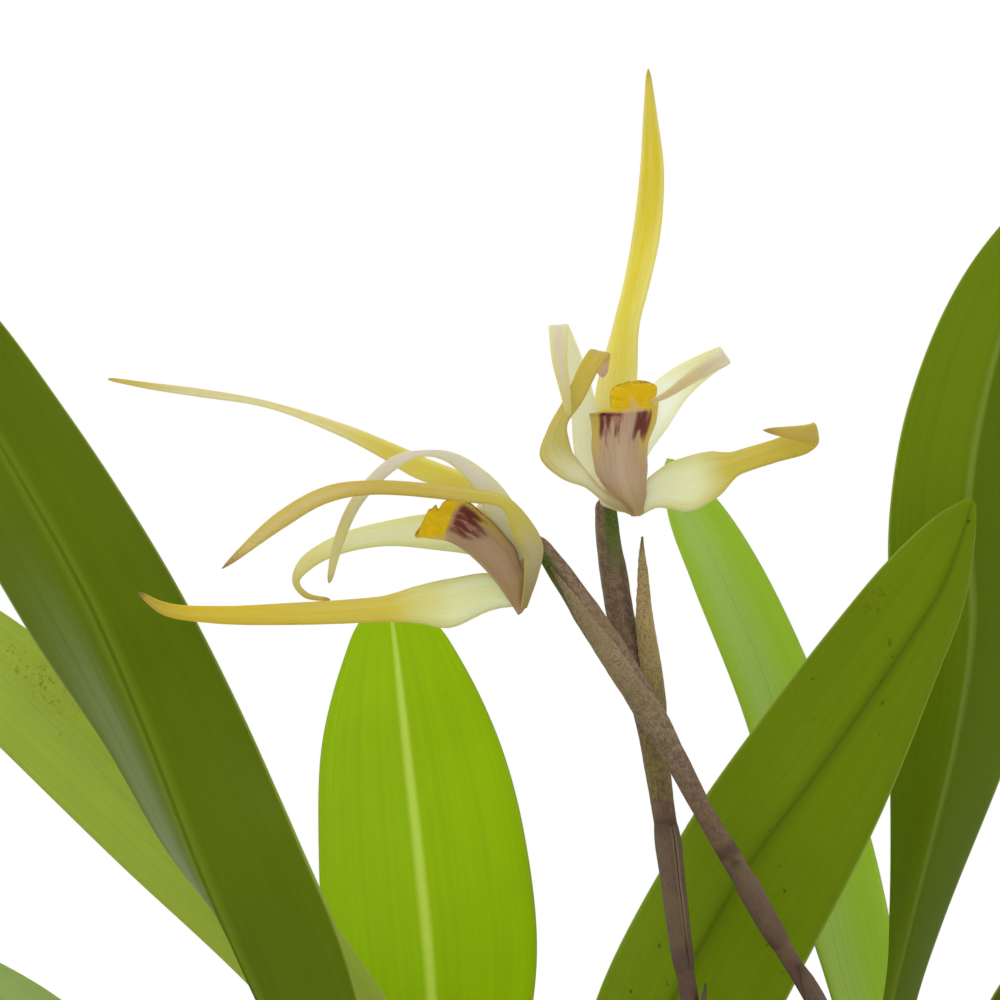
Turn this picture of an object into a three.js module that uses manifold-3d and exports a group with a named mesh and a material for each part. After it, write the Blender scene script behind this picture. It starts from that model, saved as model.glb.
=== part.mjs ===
// A potted Maxillaria orchid in flower: clustered pseudobulbs in bark, each with one strap leaf,
// and two scapes that each hold one flower. Millimetres, +Z up, X to the right, Y to the back.
// The origin is the middle of the pot's underside.
import * as THREE from 'three';
import { mergeVertices } from 'three/addons/utils/BufferGeometryUtils.js';
import Module from 'manifold-3d';

const wasm = await Module();
wasm.setup();

// Driving dimensions.
const GAP = 0.3;
const POT = {
  baseRadius: 48, neckRadius: 61, rimRadius: 69, height: 104, rimHeight: 22,
  wall: 4.5, floor: 5, holeRadius: 4.5, holeRing: 24, holes: 4, sides: 32,
};
const BARK = {
  top: 82.8, seed: 9, clear: 0.4, tries: 120, spread: 51, turn: 2.4, tilt: 0.3, skew: 0.12,
  corner: 0.85, length: [11, 16], width: [8, 11], depth: [5, 8], lift: [0, 2],
};
const RHIZOME = {
  z: 86.5, radius: 3.2, sides: 5, padTop: 93, padLow: 2, padRadius: 3.4, padSides: 6,
  rootRadius: 1.3, rootSides: 4, rootBend: 72, rootEnd: 46, rootTip: 26,
};
const BULB = { rings: 6, sides: 8, foot: 2.9, neck: 2.6, furrow: 0.055 };
const LEAF = { thickness: 0.9, perRow: 2, strips: 4 };
const TEPAL = { thickness: 0.6, perRow: 2, strips: 2, cup: 0.12 };
const SHEATH = { thickness: 0.6, strips: 6, stand: 0.9 };
const BRACT = { stand: 0.2, perRow: 2 };
const LIP = { steps: 14, strips: 6, wave: 1.2 };
const STEM = { sides: 6, perRow: 2 };

const part = new THREE.Group();

const finish = (color, roughness) => new THREE.MeshStandardMaterial({ color, roughness, metalness: 0 });
const TERRACOTTA = finish('#b5694a', 0.9);
const BARK_BROWN = finish('#6b4630', 0.95);
const ROOT = finish('#b9b39a', 0.85);
const BULB_GREEN = finish('#7c8f3a', 0.55);
const SHEATH_STRAW = finish('#a08a63', 0.9);
const LEAF_GREEN = finish('#6f8f12', 0.45);
const SCAPE_BROWN = finish('#77634f', 0.8);
const SEPAL_YELLOW = finish('#d3c35f', 0.55);
const PETAL_CREAM = finish('#e3e2cc', 0.55);
const LIP_BUFF = finish('#c3a27c', 0.55);
const COLUMN_WHITE = finish('#dcd6bd', 0.5);

const vector = (x, y, z) => new THREE.Vector3(x, y, z);

// A closed triangle mesh as a solid that can be joined and cut.
function toSolid(geometry) {
  const bare = geometry.clone();
  bare.deleteAttribute('normal');
  bare.deleteAttribute('uv');
  const merged = mergeVertices(bare, 1e-5);
  const mesh = new wasm.Mesh({
    numProp: 3,
    vertProperties: new Float32Array(merged.attributes.position.array),
    triVerts: new Uint32Array(merged.index.array),
  });
  return new wasm.Manifold(mesh);
}

function largestBody(solid) {
  const bodies = solid.decompose();
  return bodies.reduce((best, body) => (body.volume() > best.volume() ? body : best));
}

function addPart(name, solid, material) {
  const mesh = largestBody(solid).getMesh();
  const geometry = new THREE.BufferGeometry();
  geometry.setAttribute('position', new THREE.BufferAttribute(mesh.vertProperties, 3));
  geometry.setIndex(new THREE.BufferAttribute(mesh.triVerts, 1));
  geometry.computeVertexNormals();
  const piece = new THREE.Mesh(geometry, material);
  piece.name = name;
  part.add(piece);
}

const join = (solids) => solids.reduce((sum, solid) => sum.add(solid));
const cutAll = (solid, cutters) => cutters.reduce((rest, cutter) => rest.subtract(cutter), solid);

// A seeded draw between low and high, the same on every run.
function randomSource(seed) {
  let state = seed;
  return (low, high) => {
    state = (state * 1664525 + 1013904223) % 4294967296;
    return low + (high - low) * (state / 4294967296);
  };
}

function smoothCurve(points) {
  return new THREE.CatmullRomCurve3(points.map((p) => vector(...p)), false, 'centripetal');
}

// Numbers that change smoothly along a row list, read at t from 0 to 1.
function smoothRow(values, t) {
  const place = t * (values.length - 1);
  const from = Math.min(Math.floor(place), values.length - 2);
  const share = place - from;
  const ease = share * share * (3 - 2 * share);
  return values[from] + (values[from + 1] - values[from]) * ease;
}

// How far a grown blade's first and last row move out along it.
const endShift = (t, grow) => {
  if (t === 0) return -grow;
  return t === 1 ? grow : 0;
};

// A closed sheet of even thickness. middle(t, u) is its middle surface, t from base to tip and u from
// -1 at one edge to 1 at the other. Both faces are split into the same triangles.
function sheet(middle, rows, strips, thickness) {
  const grid = [];
  for (let i = 0; i <= rows; i += 1) {
    for (let j = 0; j <= strips; j += 1) grid.push(middle(i / rows, -1 + (2 * j) / strips));
  }
  const at = (i, j) => grid[i * (strips + 1) + j];
  const count = grid.length;
  const positions = new Float32Array(count * 6);
  for (let i = 0; i <= rows; i += 1) {
    for (let j = 0; j <= strips; j += 1) {
      const along = at(Math.min(i + 1, rows), j).clone().sub(at(Math.max(i - 1, 0), j));
      const across = at(i, Math.min(j + 1, strips)).clone().sub(at(i, Math.max(j - 1, 0)));
      const half = across.cross(along).normalize().multiplyScalar(thickness / 2);
      const k = i * (strips + 1) + j;
      at(i, j).clone().add(half).toArray(positions, k * 3);
      at(i, j).clone().sub(half).toArray(positions, (count + k) * 3);
    }
  }
  const index = [];
  const quad = (a, b, c, d) => index.push(a, b, c, a, c, d);
  for (let i = 0; i < rows; i += 1) {
    for (let j = 0; j < strips; j += 1) {
      const a = i * (strips + 1) + j;
      const b = a + 1;
      const c = b + strips + 1;
      const d = a + strips + 1;
      quad(a, b, c, d);
      index.push(count + a, count + c, count + b, count + a, count + d, count + c);
    }
  }
  for (let i = 0; i < rows; i += 1) {
    const a = i * (strips + 1);
    const b = a + strips;
    quad(a, a + strips + 1, count + a + strips + 1, count + a);
    quad(b + strips + 1, b, count + b, count + b + strips + 1);
  }
  for (let j = 0; j < strips; j += 1) {
    const k = rows * (strips + 1) + j;
    quad(j + 1, j, count + j, count + j + 1);
    quad(k, k + 1, count + k + 1, count + k);
  }
  const geometry = new THREE.BufferGeometry();
  geometry.setAttribute('position', new THREE.BufferAttribute(positions, 3));
  geometry.setIndex(index);
  return toSolid(geometry);
}

// A leaf blade. Each row is a point of the midrib, then its two half widths as vectors to the edges,
// so that the blade folds along the midrib and turns as it rises. grow widens and thickens it.
function leafBlade(rows, grow = 0) {
  const spine = smoothCurve(rows.map((r) => r.slice(0, 3)));
  const left = smoothCurve(rows.map((r) => r.slice(3, 6)));
  const right = smoothCurve(rows.map((r) => r.slice(6, 9)));
  const middle = (t, u) => {
    const l = left.getPoint(t);
    const r = right.getPoint(t);
    const reach = 1 + grow / Math.max(l.length(), 1);
    const flat = r.clone().sub(l).multiplyScalar(0.5 * reach * u);
    const fold = r.clone().add(l).multiplyScalar(0.5 * reach * Math.abs(u) ** 1.25);
    return spine.getPoint(t).add(flat).add(fold);
  };
  return sheet(middle, (rows.length - 1) * LEAF.perRow, LEAF.strips, LEAF.thickness + 2 * grow);
}

// A sepal or petal. Each row is a point of its middle line and its half width as a vector.
// Both edges lift off the middle line into a shallow trough, and grow widens and thickens the blade.
function tepalBlade(rows, grow = 0) {
  const spine = smoothCurve(rows.map((r) => r.slice(0, 3)));
  const side = smoothCurve(rows.map((r) => r.slice(3, 6)));
  const middle = (t, u) => {
    const half = side.getPoint(t);
    const along = spine.getTangent(t);
    const lift = along.clone().cross(half).multiplyScalar(TEPAL.cup * u * u);
    half.multiplyScalar(1 + grow / Math.max(half.length(), 0.3));
    return spine.getPoint(t).addScaledVector(along, endShift(t, grow))
      .add(half.multiplyScalar(u)).add(lift);
  };
  return sheet(middle, (rows.length - 1) * TEPAL.perRow, TEPAL.strips, TEPAL.thickness + 2 * grow);
}

// A rolled blade, as a lip's trough or a sheath round a stem. frameAt(t) gives a point of its back, the
// way that the back faces, the way that it runs, the radius of its roll and half the angle it wraps.
// wave ruffles the edges of its far end, and grow widens, lengthens and thickens it.
const RUFFLE = { from: 0.7, beat: 60 };
function rolledBlade(frameAt, steps, { strips = SHEATH.strips, wave = 0, grow = 0 } = {}) {
  const middle = (t, u) => {
    const { back, out, along, radius, wrap } = frameAt(t);
    const side = along.clone().cross(out).normalize();
    const angle = (THREE.MathUtils.degToRad(wrap) + grow / radius) * u;
    const ruffle = wave * u * u * Math.max(0, t - RUFFLE.from) * Math.sin(t * RUFFLE.beat);
    return back.clone().addScaledVector(along, endShift(t, grow))
      .addScaledVector(side, radius * Math.sin(angle))
      .addScaledVector(out, -radius * (1 - Math.cos(angle)) + ruffle);
  };
  return sheet(middle, steps, strips, SHEATH.thickness + 2 * grow);
}

// The frames of a rolled blade whose rows hold a point of the back, its facing, its radius and its wrap.
function rowFrames(rows) {
  const back = smoothCurve(rows.map((r) => r.slice(0, 3)));
  const facing = smoothCurve(rows.map((r) => r.slice(3, 6)));
  return (t) => ({
    back: back.getPoint(t),
    out: facing.getPoint(t).normalize(),
    along: back.getTangent(t),
    radius: smoothRow(rows.map((r) => r[6]), t),
    wrap: smoothRow(rows.map((r) => r[7]), t),
  });
}

// A round stem, root or rhizome. Each row is a point of its axis and its radius there.
const STEM_ACROSS = vector(0.31, 0.9, 0.3).normalize();
function stem(rows, { sides = STEM.sides, perRow = STEM.perRow, grow = 0 } = {}) {
  const axis = smoothCurve(rows.map((r) => r.slice(0, 3)));
  const steps = (rows.length - 1) * perRow;
  const positions = [];
  for (let i = 0; i <= steps; i += 1) {
    const t = i / steps;
    const centre = axis.getPoint(t);
    const along = axis.getTangent(t);
    const side = along.clone().cross(STEM_ACROSS).normalize();
    const up = along.clone().cross(side);
    if (i === 0) centre.addScaledVector(along, -grow);
    if (i === steps) centre.addScaledVector(along, grow);
    const radius = smoothRow(rows.map((r) => r[3]), t) + grow;
    for (let k = 0; k < sides; k += 1) {
      const angle = (2 * Math.PI * k) / sides;
      const point = centre.clone()
        .addScaledVector(side, radius * Math.cos(angle))
        .addScaledVector(up, radius * Math.sin(angle));
      positions.push(...point.toArray());
    }
  }
  const index = [];
  for (let i = 0; i < steps; i += 1) {
    for (let k = 0; k < sides; k += 1) {
      const a = i * sides + k;
      const b = i * sides + ((k + 1) % sides);
      index.push(a, b, b + sides, a, b + sides, a + sides);
    }
  }
  for (let k = 1; k < sides - 1; k += 1) {
    index.push(0, k + 1, k);
    index.push(steps * sides, steps * sides + k, steps * sides + k + 1);
  }
  const geometry = new THREE.BufferGeometry();
  geometry.setAttribute('position', new THREE.BufferAttribute(new Float32Array(positions), 3));
  geometry.setIndex(index);
  return toSolid(geometry);
}

const uprightRod = (radius, low, high, sides, x = 0, y = 0) => {
  const geometry = new THREE.CylinderGeometry(radius, radius, high - low, sides);
  geometry.rotateX(Math.PI / 2);
  geometry.translate(x, y, (low + high) / 2);
  return toSolid(geometry);
};

const turned = (profile, sides) => {
  const geometry = new THREE.LatheGeometry(profile.map(([r, z]) => new THREE.Vector2(r, z)), sides);
  geometry.rotateX(Math.PI / 2);
  return toSolid(geometry);
};

// Pot: thrown terracotta with a thick rim band and drain holes round a solid middle.
const innerRadius = (z) => POT.baseRadius - POT.wall
  + ((POT.neckRadius - POT.baseRadius) * (z - POT.floor)) / (POT.height - POT.floor);
{
  const { baseRadius, neckRadius, rimRadius, height, rimHeight, floor } = POT;
  const band = height - rimHeight;
  const body = turned([
    [0, 0], [baseRadius - 1, 0], [baseRadius, 1],
    [neckRadius - 1, band - 1], [rimRadius - 1.5, band], [rimRadius - 1, band + 1.5],
    [rimRadius, height - 2], [rimRadius - 2, height], [innerRadius(height) + 1.5, height],
    [innerRadius(height - 1.5), height - 1.5], [innerRadius(floor + 3), floor + 3],
    [innerRadius(floor) - 3, floor], [0, floor],
  ], POT.sides);
  const drains = Array.from({ length: POT.holes }, (unused, k) => {
    const angle = ((k + 0.5) * 2 * Math.PI) / POT.holes;
    return uprightRod(POT.holeRadius, -1, floor + 1, 12,
      POT.holeRing * Math.cos(angle), POT.holeRing * Math.sin(angle));
  });
  addPart('pot', cutAll(body, drains), TERRACOTTA);
}

// Pseudobulbs: foot on the rhizome, apex under the leaf, width and depth. The last has shed its leaf.
const bulbs = [
  { name: 'left_front', foot: [-36, -7], apex: [-40, -6, 126], size: [8, 6.5] },
  { name: 'left_back', foot: [-12, 27], apex: [-15, 26, 124], size: [7.6, 6.2] },
  { name: 'left_low', foot: [-43, 12], apex: [-47, 13, 118], size: [7, 6] },
  { name: 'middle_back', foot: [-31, 28], apex: [-34, 30, 124], size: [8, 6.4] },
  { name: 'right_back', foot: [39, 20], apex: [40, 21, 123], size: [7.2, 6] },
  { name: 'right_front', foot: [-17, 8], apex: [-14, 8, 125], size: [8.2, 6.6] },
  { name: 'right_tall', foot: [20, 5], apex: [23, 6, 127], size: [8.2, 6.8] },
  { name: 'right_low', foot: [42, -1], apex: [44.5, -2, 117], size: [7, 6] },
  { name: 'near_left', foot: [-8, -29], apex: [-8, -32, 118], size: [7.2, 6.2] },
  { name: 'near_right', foot: [22, -31], apex: [23, -34, 117], size: [7, 6] },
  { name: 'far_right', foot: [13, 36], apex: [14, 39, 118], size: [7, 6] },
  { name: 'old', foot: [-24, -23], apex: [-25, -24, 113], size: [6.6, 5.8] },
];

function bulbSolid({ foot, apex, size }, grow = 0) {
  const low = RHIZOME.padTop + GAP - grow;
  const positions = [];
  const { rings, sides } = BULB;
  for (let i = 0; i <= rings; i += 1) {
    const t = i / rings;
    const swell = Math.sin(Math.PI * t ** 0.8) ** 0.75;
    const ends = THREE.MathUtils.lerp(BULB.foot, BULB.neck, t);
    for (let k = 0; k < sides; k += 1) {
      const angle = (2 * Math.PI * k) / sides;
      const ridge = 1 + BULB.furrow * (k % 2 ? -1 : 1) * swell;
      const wide = (ends + (size[0] - ends) * swell) * ridge + grow;
      const deep = (ends + (size[1] - ends) * swell) * ridge + grow;
      positions.push(
        THREE.MathUtils.lerp(foot[0], apex[0], t) + wide * Math.cos(angle),
        THREE.MathUtils.lerp(foot[1], apex[1], t) + deep * Math.sin(angle),
        THREE.MathUtils.lerp(low, apex[2] + grow, t),
      );
    }
  }
  const index = [];
  for (let i = 0; i < rings; i += 1) {
    for (let k = 0; k < sides; k += 1) {
      const a = i * sides + k;
      const b = i * sides + ((k + 1) % sides);
      index.push(a, b, b + sides, a, b + sides, a + sides);
    }
  }
  for (let k = 1; k < sides - 1; k += 1) {
    index.push(0, k + 1, k);
    index.push(rings * sides, rings * sides + k, rings * sides + k + 1);
  }
  const geometry = new THREE.BufferGeometry();
  geometry.setAttribute('position', new THREE.BufferAttribute(new Float32Array(positions), 3));
  geometry.setIndex(index);
  return toSolid(geometry);
}

for (const bulb of bulbs) addPart(`bulb_${bulb.name}`, bulbSolid(bulb), BULB_GREEN);

// Rhizome: three creeping leads with a pad under each bulb, and roots down into the bark.
const leads = [
  ['left_low', 'left_front', 'old', 'near_left', 'near_right'],
  ['middle_back', 'left_back', 'right_front', 'old'],
  ['far_right', 'right_back', 'right_low', 'right_tall', 'right_front'],
];
const roots = [
  [[-36, -7], [-44, -14], [-34, -20]], [[-43, 12], [-40, 24], [-28, 26]],
  [[13, 36], [6, 42], [-4, 34]], [[39, 20], [40, 28], [28, 26]],
  [[42, -1], [44, -12], [30, -18]], [[22, -31], [14, -40], [8, -30]],
  [[-17, 8], [-6, 12], [2, 6]],
];

const leadRuns = leads.map((lead) => lead.map((name) => {
  const { foot } = bulbs.find((bulb) => bulb.name === name);
  return [...foot, RHIZOME.z, RHIZOME.radius];
}));
const rootRuns = roots.map(([start, bend, end]) => [
  [...start, RHIZOME.z, RHIZOME.rootRadius], [...bend, RHIZOME.rootBend, RHIZOME.rootRadius],
  [...end, RHIZOME.rootEnd, RHIZOME.rootRadius * 0.8],
  [end[0] * 0.8, end[1] * 0.8, RHIZOME.rootTip, RHIZOME.rootRadius * 0.6],
]);
{
  const { z, sides, padLow, padTop, padRadius, padSides, rootSides } = RHIZOME;
  const runs = leadRuns.map((rows) => stem(rows, { sides }));
  const pads = bulbs.map(({ foot }) => uprightRod(padRadius, z - padLow, padTop, padSides, ...foot));
  const feeders = rootRuns.map((rows) => stem(rows, { sides: rootSides }));
  addPart('rhizome_roots', join([...runs, ...pads, ...feeders]), ROOT);
}

// Scapes: axis points from the ground to the perianth, with the stem's radius at each.
const scapes = {
  left: [
    [38.5, -14, 78, 1.6], [38.5, -14, 104, 1.6], [37.2, -13.2, 130, 1.5], [32.5, -12, 150, 1.1],
    [25.8, -11, 166, 1], [20.1, -10.4, 177, 1], [13.4, -10.4, 188.3, 1], [7.9, -10.8, 198, 1.3],
    [3.8, -11, 204.8, 1.3], [-0.7, -11.4, 213.3, 1.1], [-4.7, -11.5, 220.4, 1.3],
    [-10.1, -11.2, 229.2, 1.65], [-13.5, -10.8, 234.3, 1.6], [-16.7, -10.4, 239.2, 1.45],
    [-21.4, -10, 245.9, 1.2],
  ],
  right: [
    [8, -10.5, 78, 1.7], [8, -10.5, 106, 1.7], [6.4, -9.8, 140, 1.1], [4, -8.4, 160, 1.1],
    [1.5, -6.8, 177, 1.4], [0.4, -6, 184, 1], [-0.6, -5.4, 192, 1], [-2, -4.4, 203, 1.1],
    [-4.2, -3.8, 216, 1.2], [-6.5, -4, 226, 1.4], [-8.7, -4.6, 234, 1.9], [-9.8, -5.8, 240.5, 2.05],
    [-10.8, -7, 246, 1.9], [-11.7, -8, 252.5, 1.7],
  ],
};
for (const [side, rows] of Object.entries(scapes)) {
  addPart(`scape_${side}`, stem(rows), SCAPE_BROWN);
}

// Bark: a flat bed with chips standing out of it wherever the rhizome leaves room, and plain holes for
// the roots and the scapes.
{
  const random = randomSource(BARK.seed);
  const { clear, top } = BARK;
  const bed = turned([
    [0, POT.floor + GAP], [innerRadius(POT.floor) - 3.5, POT.floor + GAP],
    [innerRadius(POT.floor + 4) - clear, POT.floor + 4], [innerRadius(top) - clear, top], [0, top],
  ], POT.sides);
  const taken = leadRuns.flatMap((rows) => smoothCurve(rows.map((r) => r.slice(0, 3))).getPoints(40));
  const chips = [];
  for (let k = 0; k < BARK.tries; k += 1) {
    const size = [random(...BARK.length), random(...BARK.width), random(...BARK.depth)];
    const geometry = new THREE.BoxGeometry(...size);
    const corners = geometry.attributes.position;
    const skew = [random(-BARK.skew, BARK.skew), random(-BARK.skew, BARK.skew)];
    for (let i = 0; i < corners.count; i += 1) {
      corners.setX(i, corners.getX(i) * (1 + skew[0] * Math.sign(corners.getY(i))));
      corners.setZ(i, corners.getZ(i) * (1 + 2 * skew[1] * Math.sign(corners.getX(i))));
    }
    geometry.rotateX(random(-BARK.tilt, BARK.tilt));
    geometry.rotateY(random(-BARK.tilt, BARK.tilt));
    geometry.rotateZ(random(0, Math.PI));
    const ring = BARK.spread * Math.sqrt((k + 0.5) / BARK.tries);
    const spot = vector(
      ring * Math.cos(BARK.turn * k), ring * Math.sin(BARK.turn * k), top + random(...BARK.lift),
    );
    geometry.translate(...spot.toArray());
    const reach = Math.hypot(size[0], size[1]) / 2;
    const room = BARK.corner * reach + RHIZOME.radius;
    const free = taken.every((point) => Math.hypot(point.x - spot.x, point.y - spot.y) > room);
    const apart = chips.every((other) => other.spot.distanceTo(spot) > BARK.width[0]);
    if (free && apart && ring + reach < innerRadius(top) - clear) {
      chips.push({ spot, solid: toSolid(geometry) });
    }
  }
  const rootHoles = rootRuns.map((rows) => stem(rows, { sides: RHIZOME.rootSides, grow: clear }));
  const scapeHoles = Object.values(scapes).map((rows) => stem(rows.slice(0, 3), { grow: clear }));
  const heap = bed.add(join(chips.map((chip) => chip.solid)));
  addPart('bark', cutAll(heap, [...rootHoles, ...scapeHoles]), BARK_BROWN);
}

// Leaves: one on each bulb, named as the bulb. Rows run from the petiole to the tip.
const leaves = {
  left_front: [
    [-40, -6, 126.6, 2, 3.2, 1, 2.6, -2.6, 1.2], [-47, -5, 143, 5.5, 5, 2.5, 5.8, -4.2, 2.6],
    [-63.4, -3, 176.2, 10.5, 6, 5.5, 13.5, -6, 6.8], [-71.3, -2, 193.6, -2.4, 15.6, -1.1, 14.2, -4, 6.6],
    [-81.2, 0, 218.2, -7.1, 13.6, -3.1, 12.8, 4, 5.7], [-89.7, 1, 237.1, -9.8, 9, -4.8, 11.2, 5, 5.6],
    [-102.9, 3, 260.2, -9, 6.5, -5.2, 9.4, 5, 5.5], [-115, 4, 280.5, -5.6, 3.6, -3.4, 6.8, 3, 4.2],
    [-127, 5, 299, -0.5, 0.2, -0.3, 0.5, 0.2, 0.3],
  ],
  left_back: [
    [-15, 26, 124.6, -1.2, -2.6, -1.4, 1.4, 2.6, 1.4], [-26, 27, 141.5, -3, -3.4, -2.6, 3.2, 2.8, 2.8],
    [-42, 28.6, 158.5, -4.6, -1, -5, 4.6, 2.6, 4.2], [-59.4, 32, 180.4, -5.7, 1, -6.1, 5.6, 2.6, 5.6],
    [-82, 35, 201.6, -5.8, 2, -6.3, 5.6, 2.4, 5.8], [-106, 38, 224.2, -5.6, 1.6, -6, 5.7, 1.6, 6.2],
    [-126.4, 40, 239.4, -3.6, 1, -3.8, 3.6, 1, 3.8], [-143, 42, 248, -0.3, 0, -0.5, 0.3, 0, 0.5],
  ],
  left_low: [
    [-47, 13, 118.6, -1, -2.6, -1.8, 1.2, 2.4, 1.8], [-58, 13.6, 131, -2.6, -4, -3.6, 3, 3.6, 3.6],
    [-81, 14.5, 149, -6, -2, -7.6, 6.4, 2, 7.6], [-107, 14.5, 167.4, -7.6, 1, -9.6, 8.4, 2, 10],
    [-131, 13.5, 180, -4, 1, -8.6, 4.6, 1.6, 8.8], [-149, 12.5, 184.6, -1, 0.6, -5, 1.2, 0.8, 5],
    [-163, 11.5, 186.6, 0, 0, -0.6, 0, 0, 0.6],
  ],
  middle_back: [
    [-34, 30, 124.6, -2.4, 1.8, 0, 2.4, 1.6, 0], [-35.6, 36, 141, -4.2, 2.6, 0, 4.4, 2.4, 0],
    [-37.2, 44, 161, -13.2, 2, 0.6, 13.2, 2, 0], [-38.4, 51, 178, -16.5, 1.4, 0.4, 17.3, 1.4, 0],
    [-40.4, 61, 196, -16, 1.2, 0.4, 17.7, 1.2, 0], [-42.4, 71, 212, -13.7, 1, 0.3, 15.5, 1, 0],
    [-44, 78.5, 225.4, -8.9, 0.6, 0, 10.7, 0.6, 0], [-44.9, 82, 232, -5.2, 0.3, 0, 6.8, 0.3, 0],
    [-45.4, 83.5, 235, -1, 0, 0, 1, 0, 0],
  ],
  right_back: [
    [40, 21, 123.6, -1.8, -2, -0.3, 1.8, 2, 0.4], [37, 26, 144, -3.6, -3.8, -0.8, 4, 3.6, 1],
    [26.6, 33, 176.4, -2.2, -7.4, -0.8, 9.4, 7, 2.4], [22, 38, 198, -4.4, -8.6, -1.4, 9.2, 6.4, 2.9],
    [15.6, 42, 221, -4.5, -7, -1.8, 7.5, 6, 2.8], [7.8, 45, 240.4, -4.2, -5, -1.8, 6.2, 4.8, 2.4],
    [2.6, 47, 250.8, -2.8, -3, -1.2, 4.6, 3, 1.9], [-0.2, 48.5, 258.6, -0.6, 0, -0.3, 0.6, 0, 0.3],
  ],
  right_front: [
    [-14, 8, 125.6, -1.8, 2.6, 0.8, 2.6, 1.6, -0.8], [-10.5, 7.6, 144, -3.8, 4.8, 1.6, 5.4, 2.4, -1.8],
    [-4.6, 7, 166, -8.8, 9.8, 4.4, 12.4, 1.4, -6.4], [9.7, 7, 193.9, -8.8, 7, 6.4, 12.1, 1.6, -8.9],
    [22, 8, 210.7, -9.5, 4, 6.8, 9.4, 2, -6.9], [34.3, 9, 228.3, -9, 2.6, 5.8, 5.6, 2, -3.7],
    [40.6, 9.3, 238.4, -7.6, 1.6, 4.8, 3.6, 1.4, -2.4], [44, 9.5, 247, -4, 0.8, 2.6, 1.8, 0.6, -1.2],
    [45.4, 9.5, 252, -0.7, 0, 0.4, 0.6, 0, -0.3],
  ],
  right_tall: [
    [23.2, 6.2, 128.2, -1.4, 2.4, 0.4, 2.6, 1.8, -0.6], [27.4, 10, 150, -2, 3.4, 0.6, 3.8, 2.6, -1],
    [33.6, 17, 175, -0.9, 4.4, 0, 3.9, 4.4, -1], [37.2, 19.5, 189, -3.4, 5, 0.6, 5.2, 6, -1.6],
    [44, 22, 215.7, -10.2, 3.6, 1, 9.1, 6.6, -2.2], [46.4, 22.5, 233, -12.8, 2.4, 0.2, 12.6, 6, -0.6],
    [45.6, 22, 251.2, -11.9, 2, -0.6, 13, 5, 1.4], [48.6, 21, 270, -11.8, 2, -2.1, 11.4, 4, 2.8],
    [55, 20, 290, -9.6, 1.6, -2.4, 7.8, 2.4, 3.2], [64, 19, 309, -0.5, 0, -0.2, 0.5, 0, 0.3],
  ],
  right_low: [
    [44.5, -2, 117.6, -1.4, 2.6, 0.4, 2, -2.4, -0.4], [45.6, -3, 134, -3.4, 3.4, 0.8, 4, -3.2, -1],
    [49.4, -4.4, 153, -6.2, 2, 4, 6.8, -1, -4.4], [57.6, -6, 170, -9.6, 1, 8.4, 8.8, 1, -8.2],
    [75, -8, 184, -6.6, 1, 10, 6.8, 1, -10], [96, -10, 193, -3, 1, 9, 3, 1, -9],
    [116, -12, 197, -0.6, 0.4, 4.8, 0.6, 0.4, -4.8], [130, -13, 198, 0, 0, 0.5, 0, 0, -0.5],
  ],
  near_left: [
    [-8, -32, 118.6, -2.6, 0.4, 1.6, 2.6, 0.2, 1.6], [-9.6, -39, 137, -4.6, 0.6, 2.4, 4.6, 0.2, 2.4],
    [-14, -56, 154, -10, 1, 3.4, 10, -1, 2.4], [-20, -80, 163, -12.4, 2.6, 3, 12.4, -2.8, 1.6],
    [-26.5, -106, 164, -11, 2.6, 2, 11, -2.8, 0.8], [-32, -128, 158, -6, 1.6, 1, 6, -1.6, 0.2],
    [-36, -145, 150, -0.5, 0.1, 0, 0.5, -0.1, 0],
  ],
  near_right: [
    [23, -34, 117.6, -2.2, -1.4, 1.4, 2.2, 1.2, 1.6], [28, -41, 134, -3.8, -2.2, 2, 3.8, 2, 2.4],
    [41, -56, 150, -7.8, -5.6, 2, 7.6, 5.6, 2.6], [60, -76, 159, -8.8, -8, 1, 8.8, 8, 2.2],
    [80, -96, 160, -6.8, -6.6, 0.4, 6.8, 6.6, 1.2], [98, -113, 154, -0.4, -0.4, 0, 0.4, 0.4, 0],
  ],
  far_right: [
    [14, 39, 118.6, -2.5, 0.4, 1.6, 2.5, 0, 1.6], [17, 49, 134, -4.4, 1, 2.2, 4.4, -1, 2.2],
    [24, 70, 148, -9.6, 3, 2.6, 9.6, -3, 2.6], [33, 97, 155.5, -11.4, 4, 1.6, 11.4, -4, 1.6],
    [42, 124, 153, -8.4, 2.8, 0.8, 8.4, -2.8, 0.8], [49, 146, 145, -0.5, 0.2, 0, 0.5, -0.2, 0],
  ],
};
for (const [name, rows] of Object.entries(leaves)) {
  const seat = bulbSolid(bulbs.find((bulb) => bulb.name === name), GAP);
  addPart(`leaf_${name}`, leafBlade(rows).subtract(seat), LEAF_GREEN);
}

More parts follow.
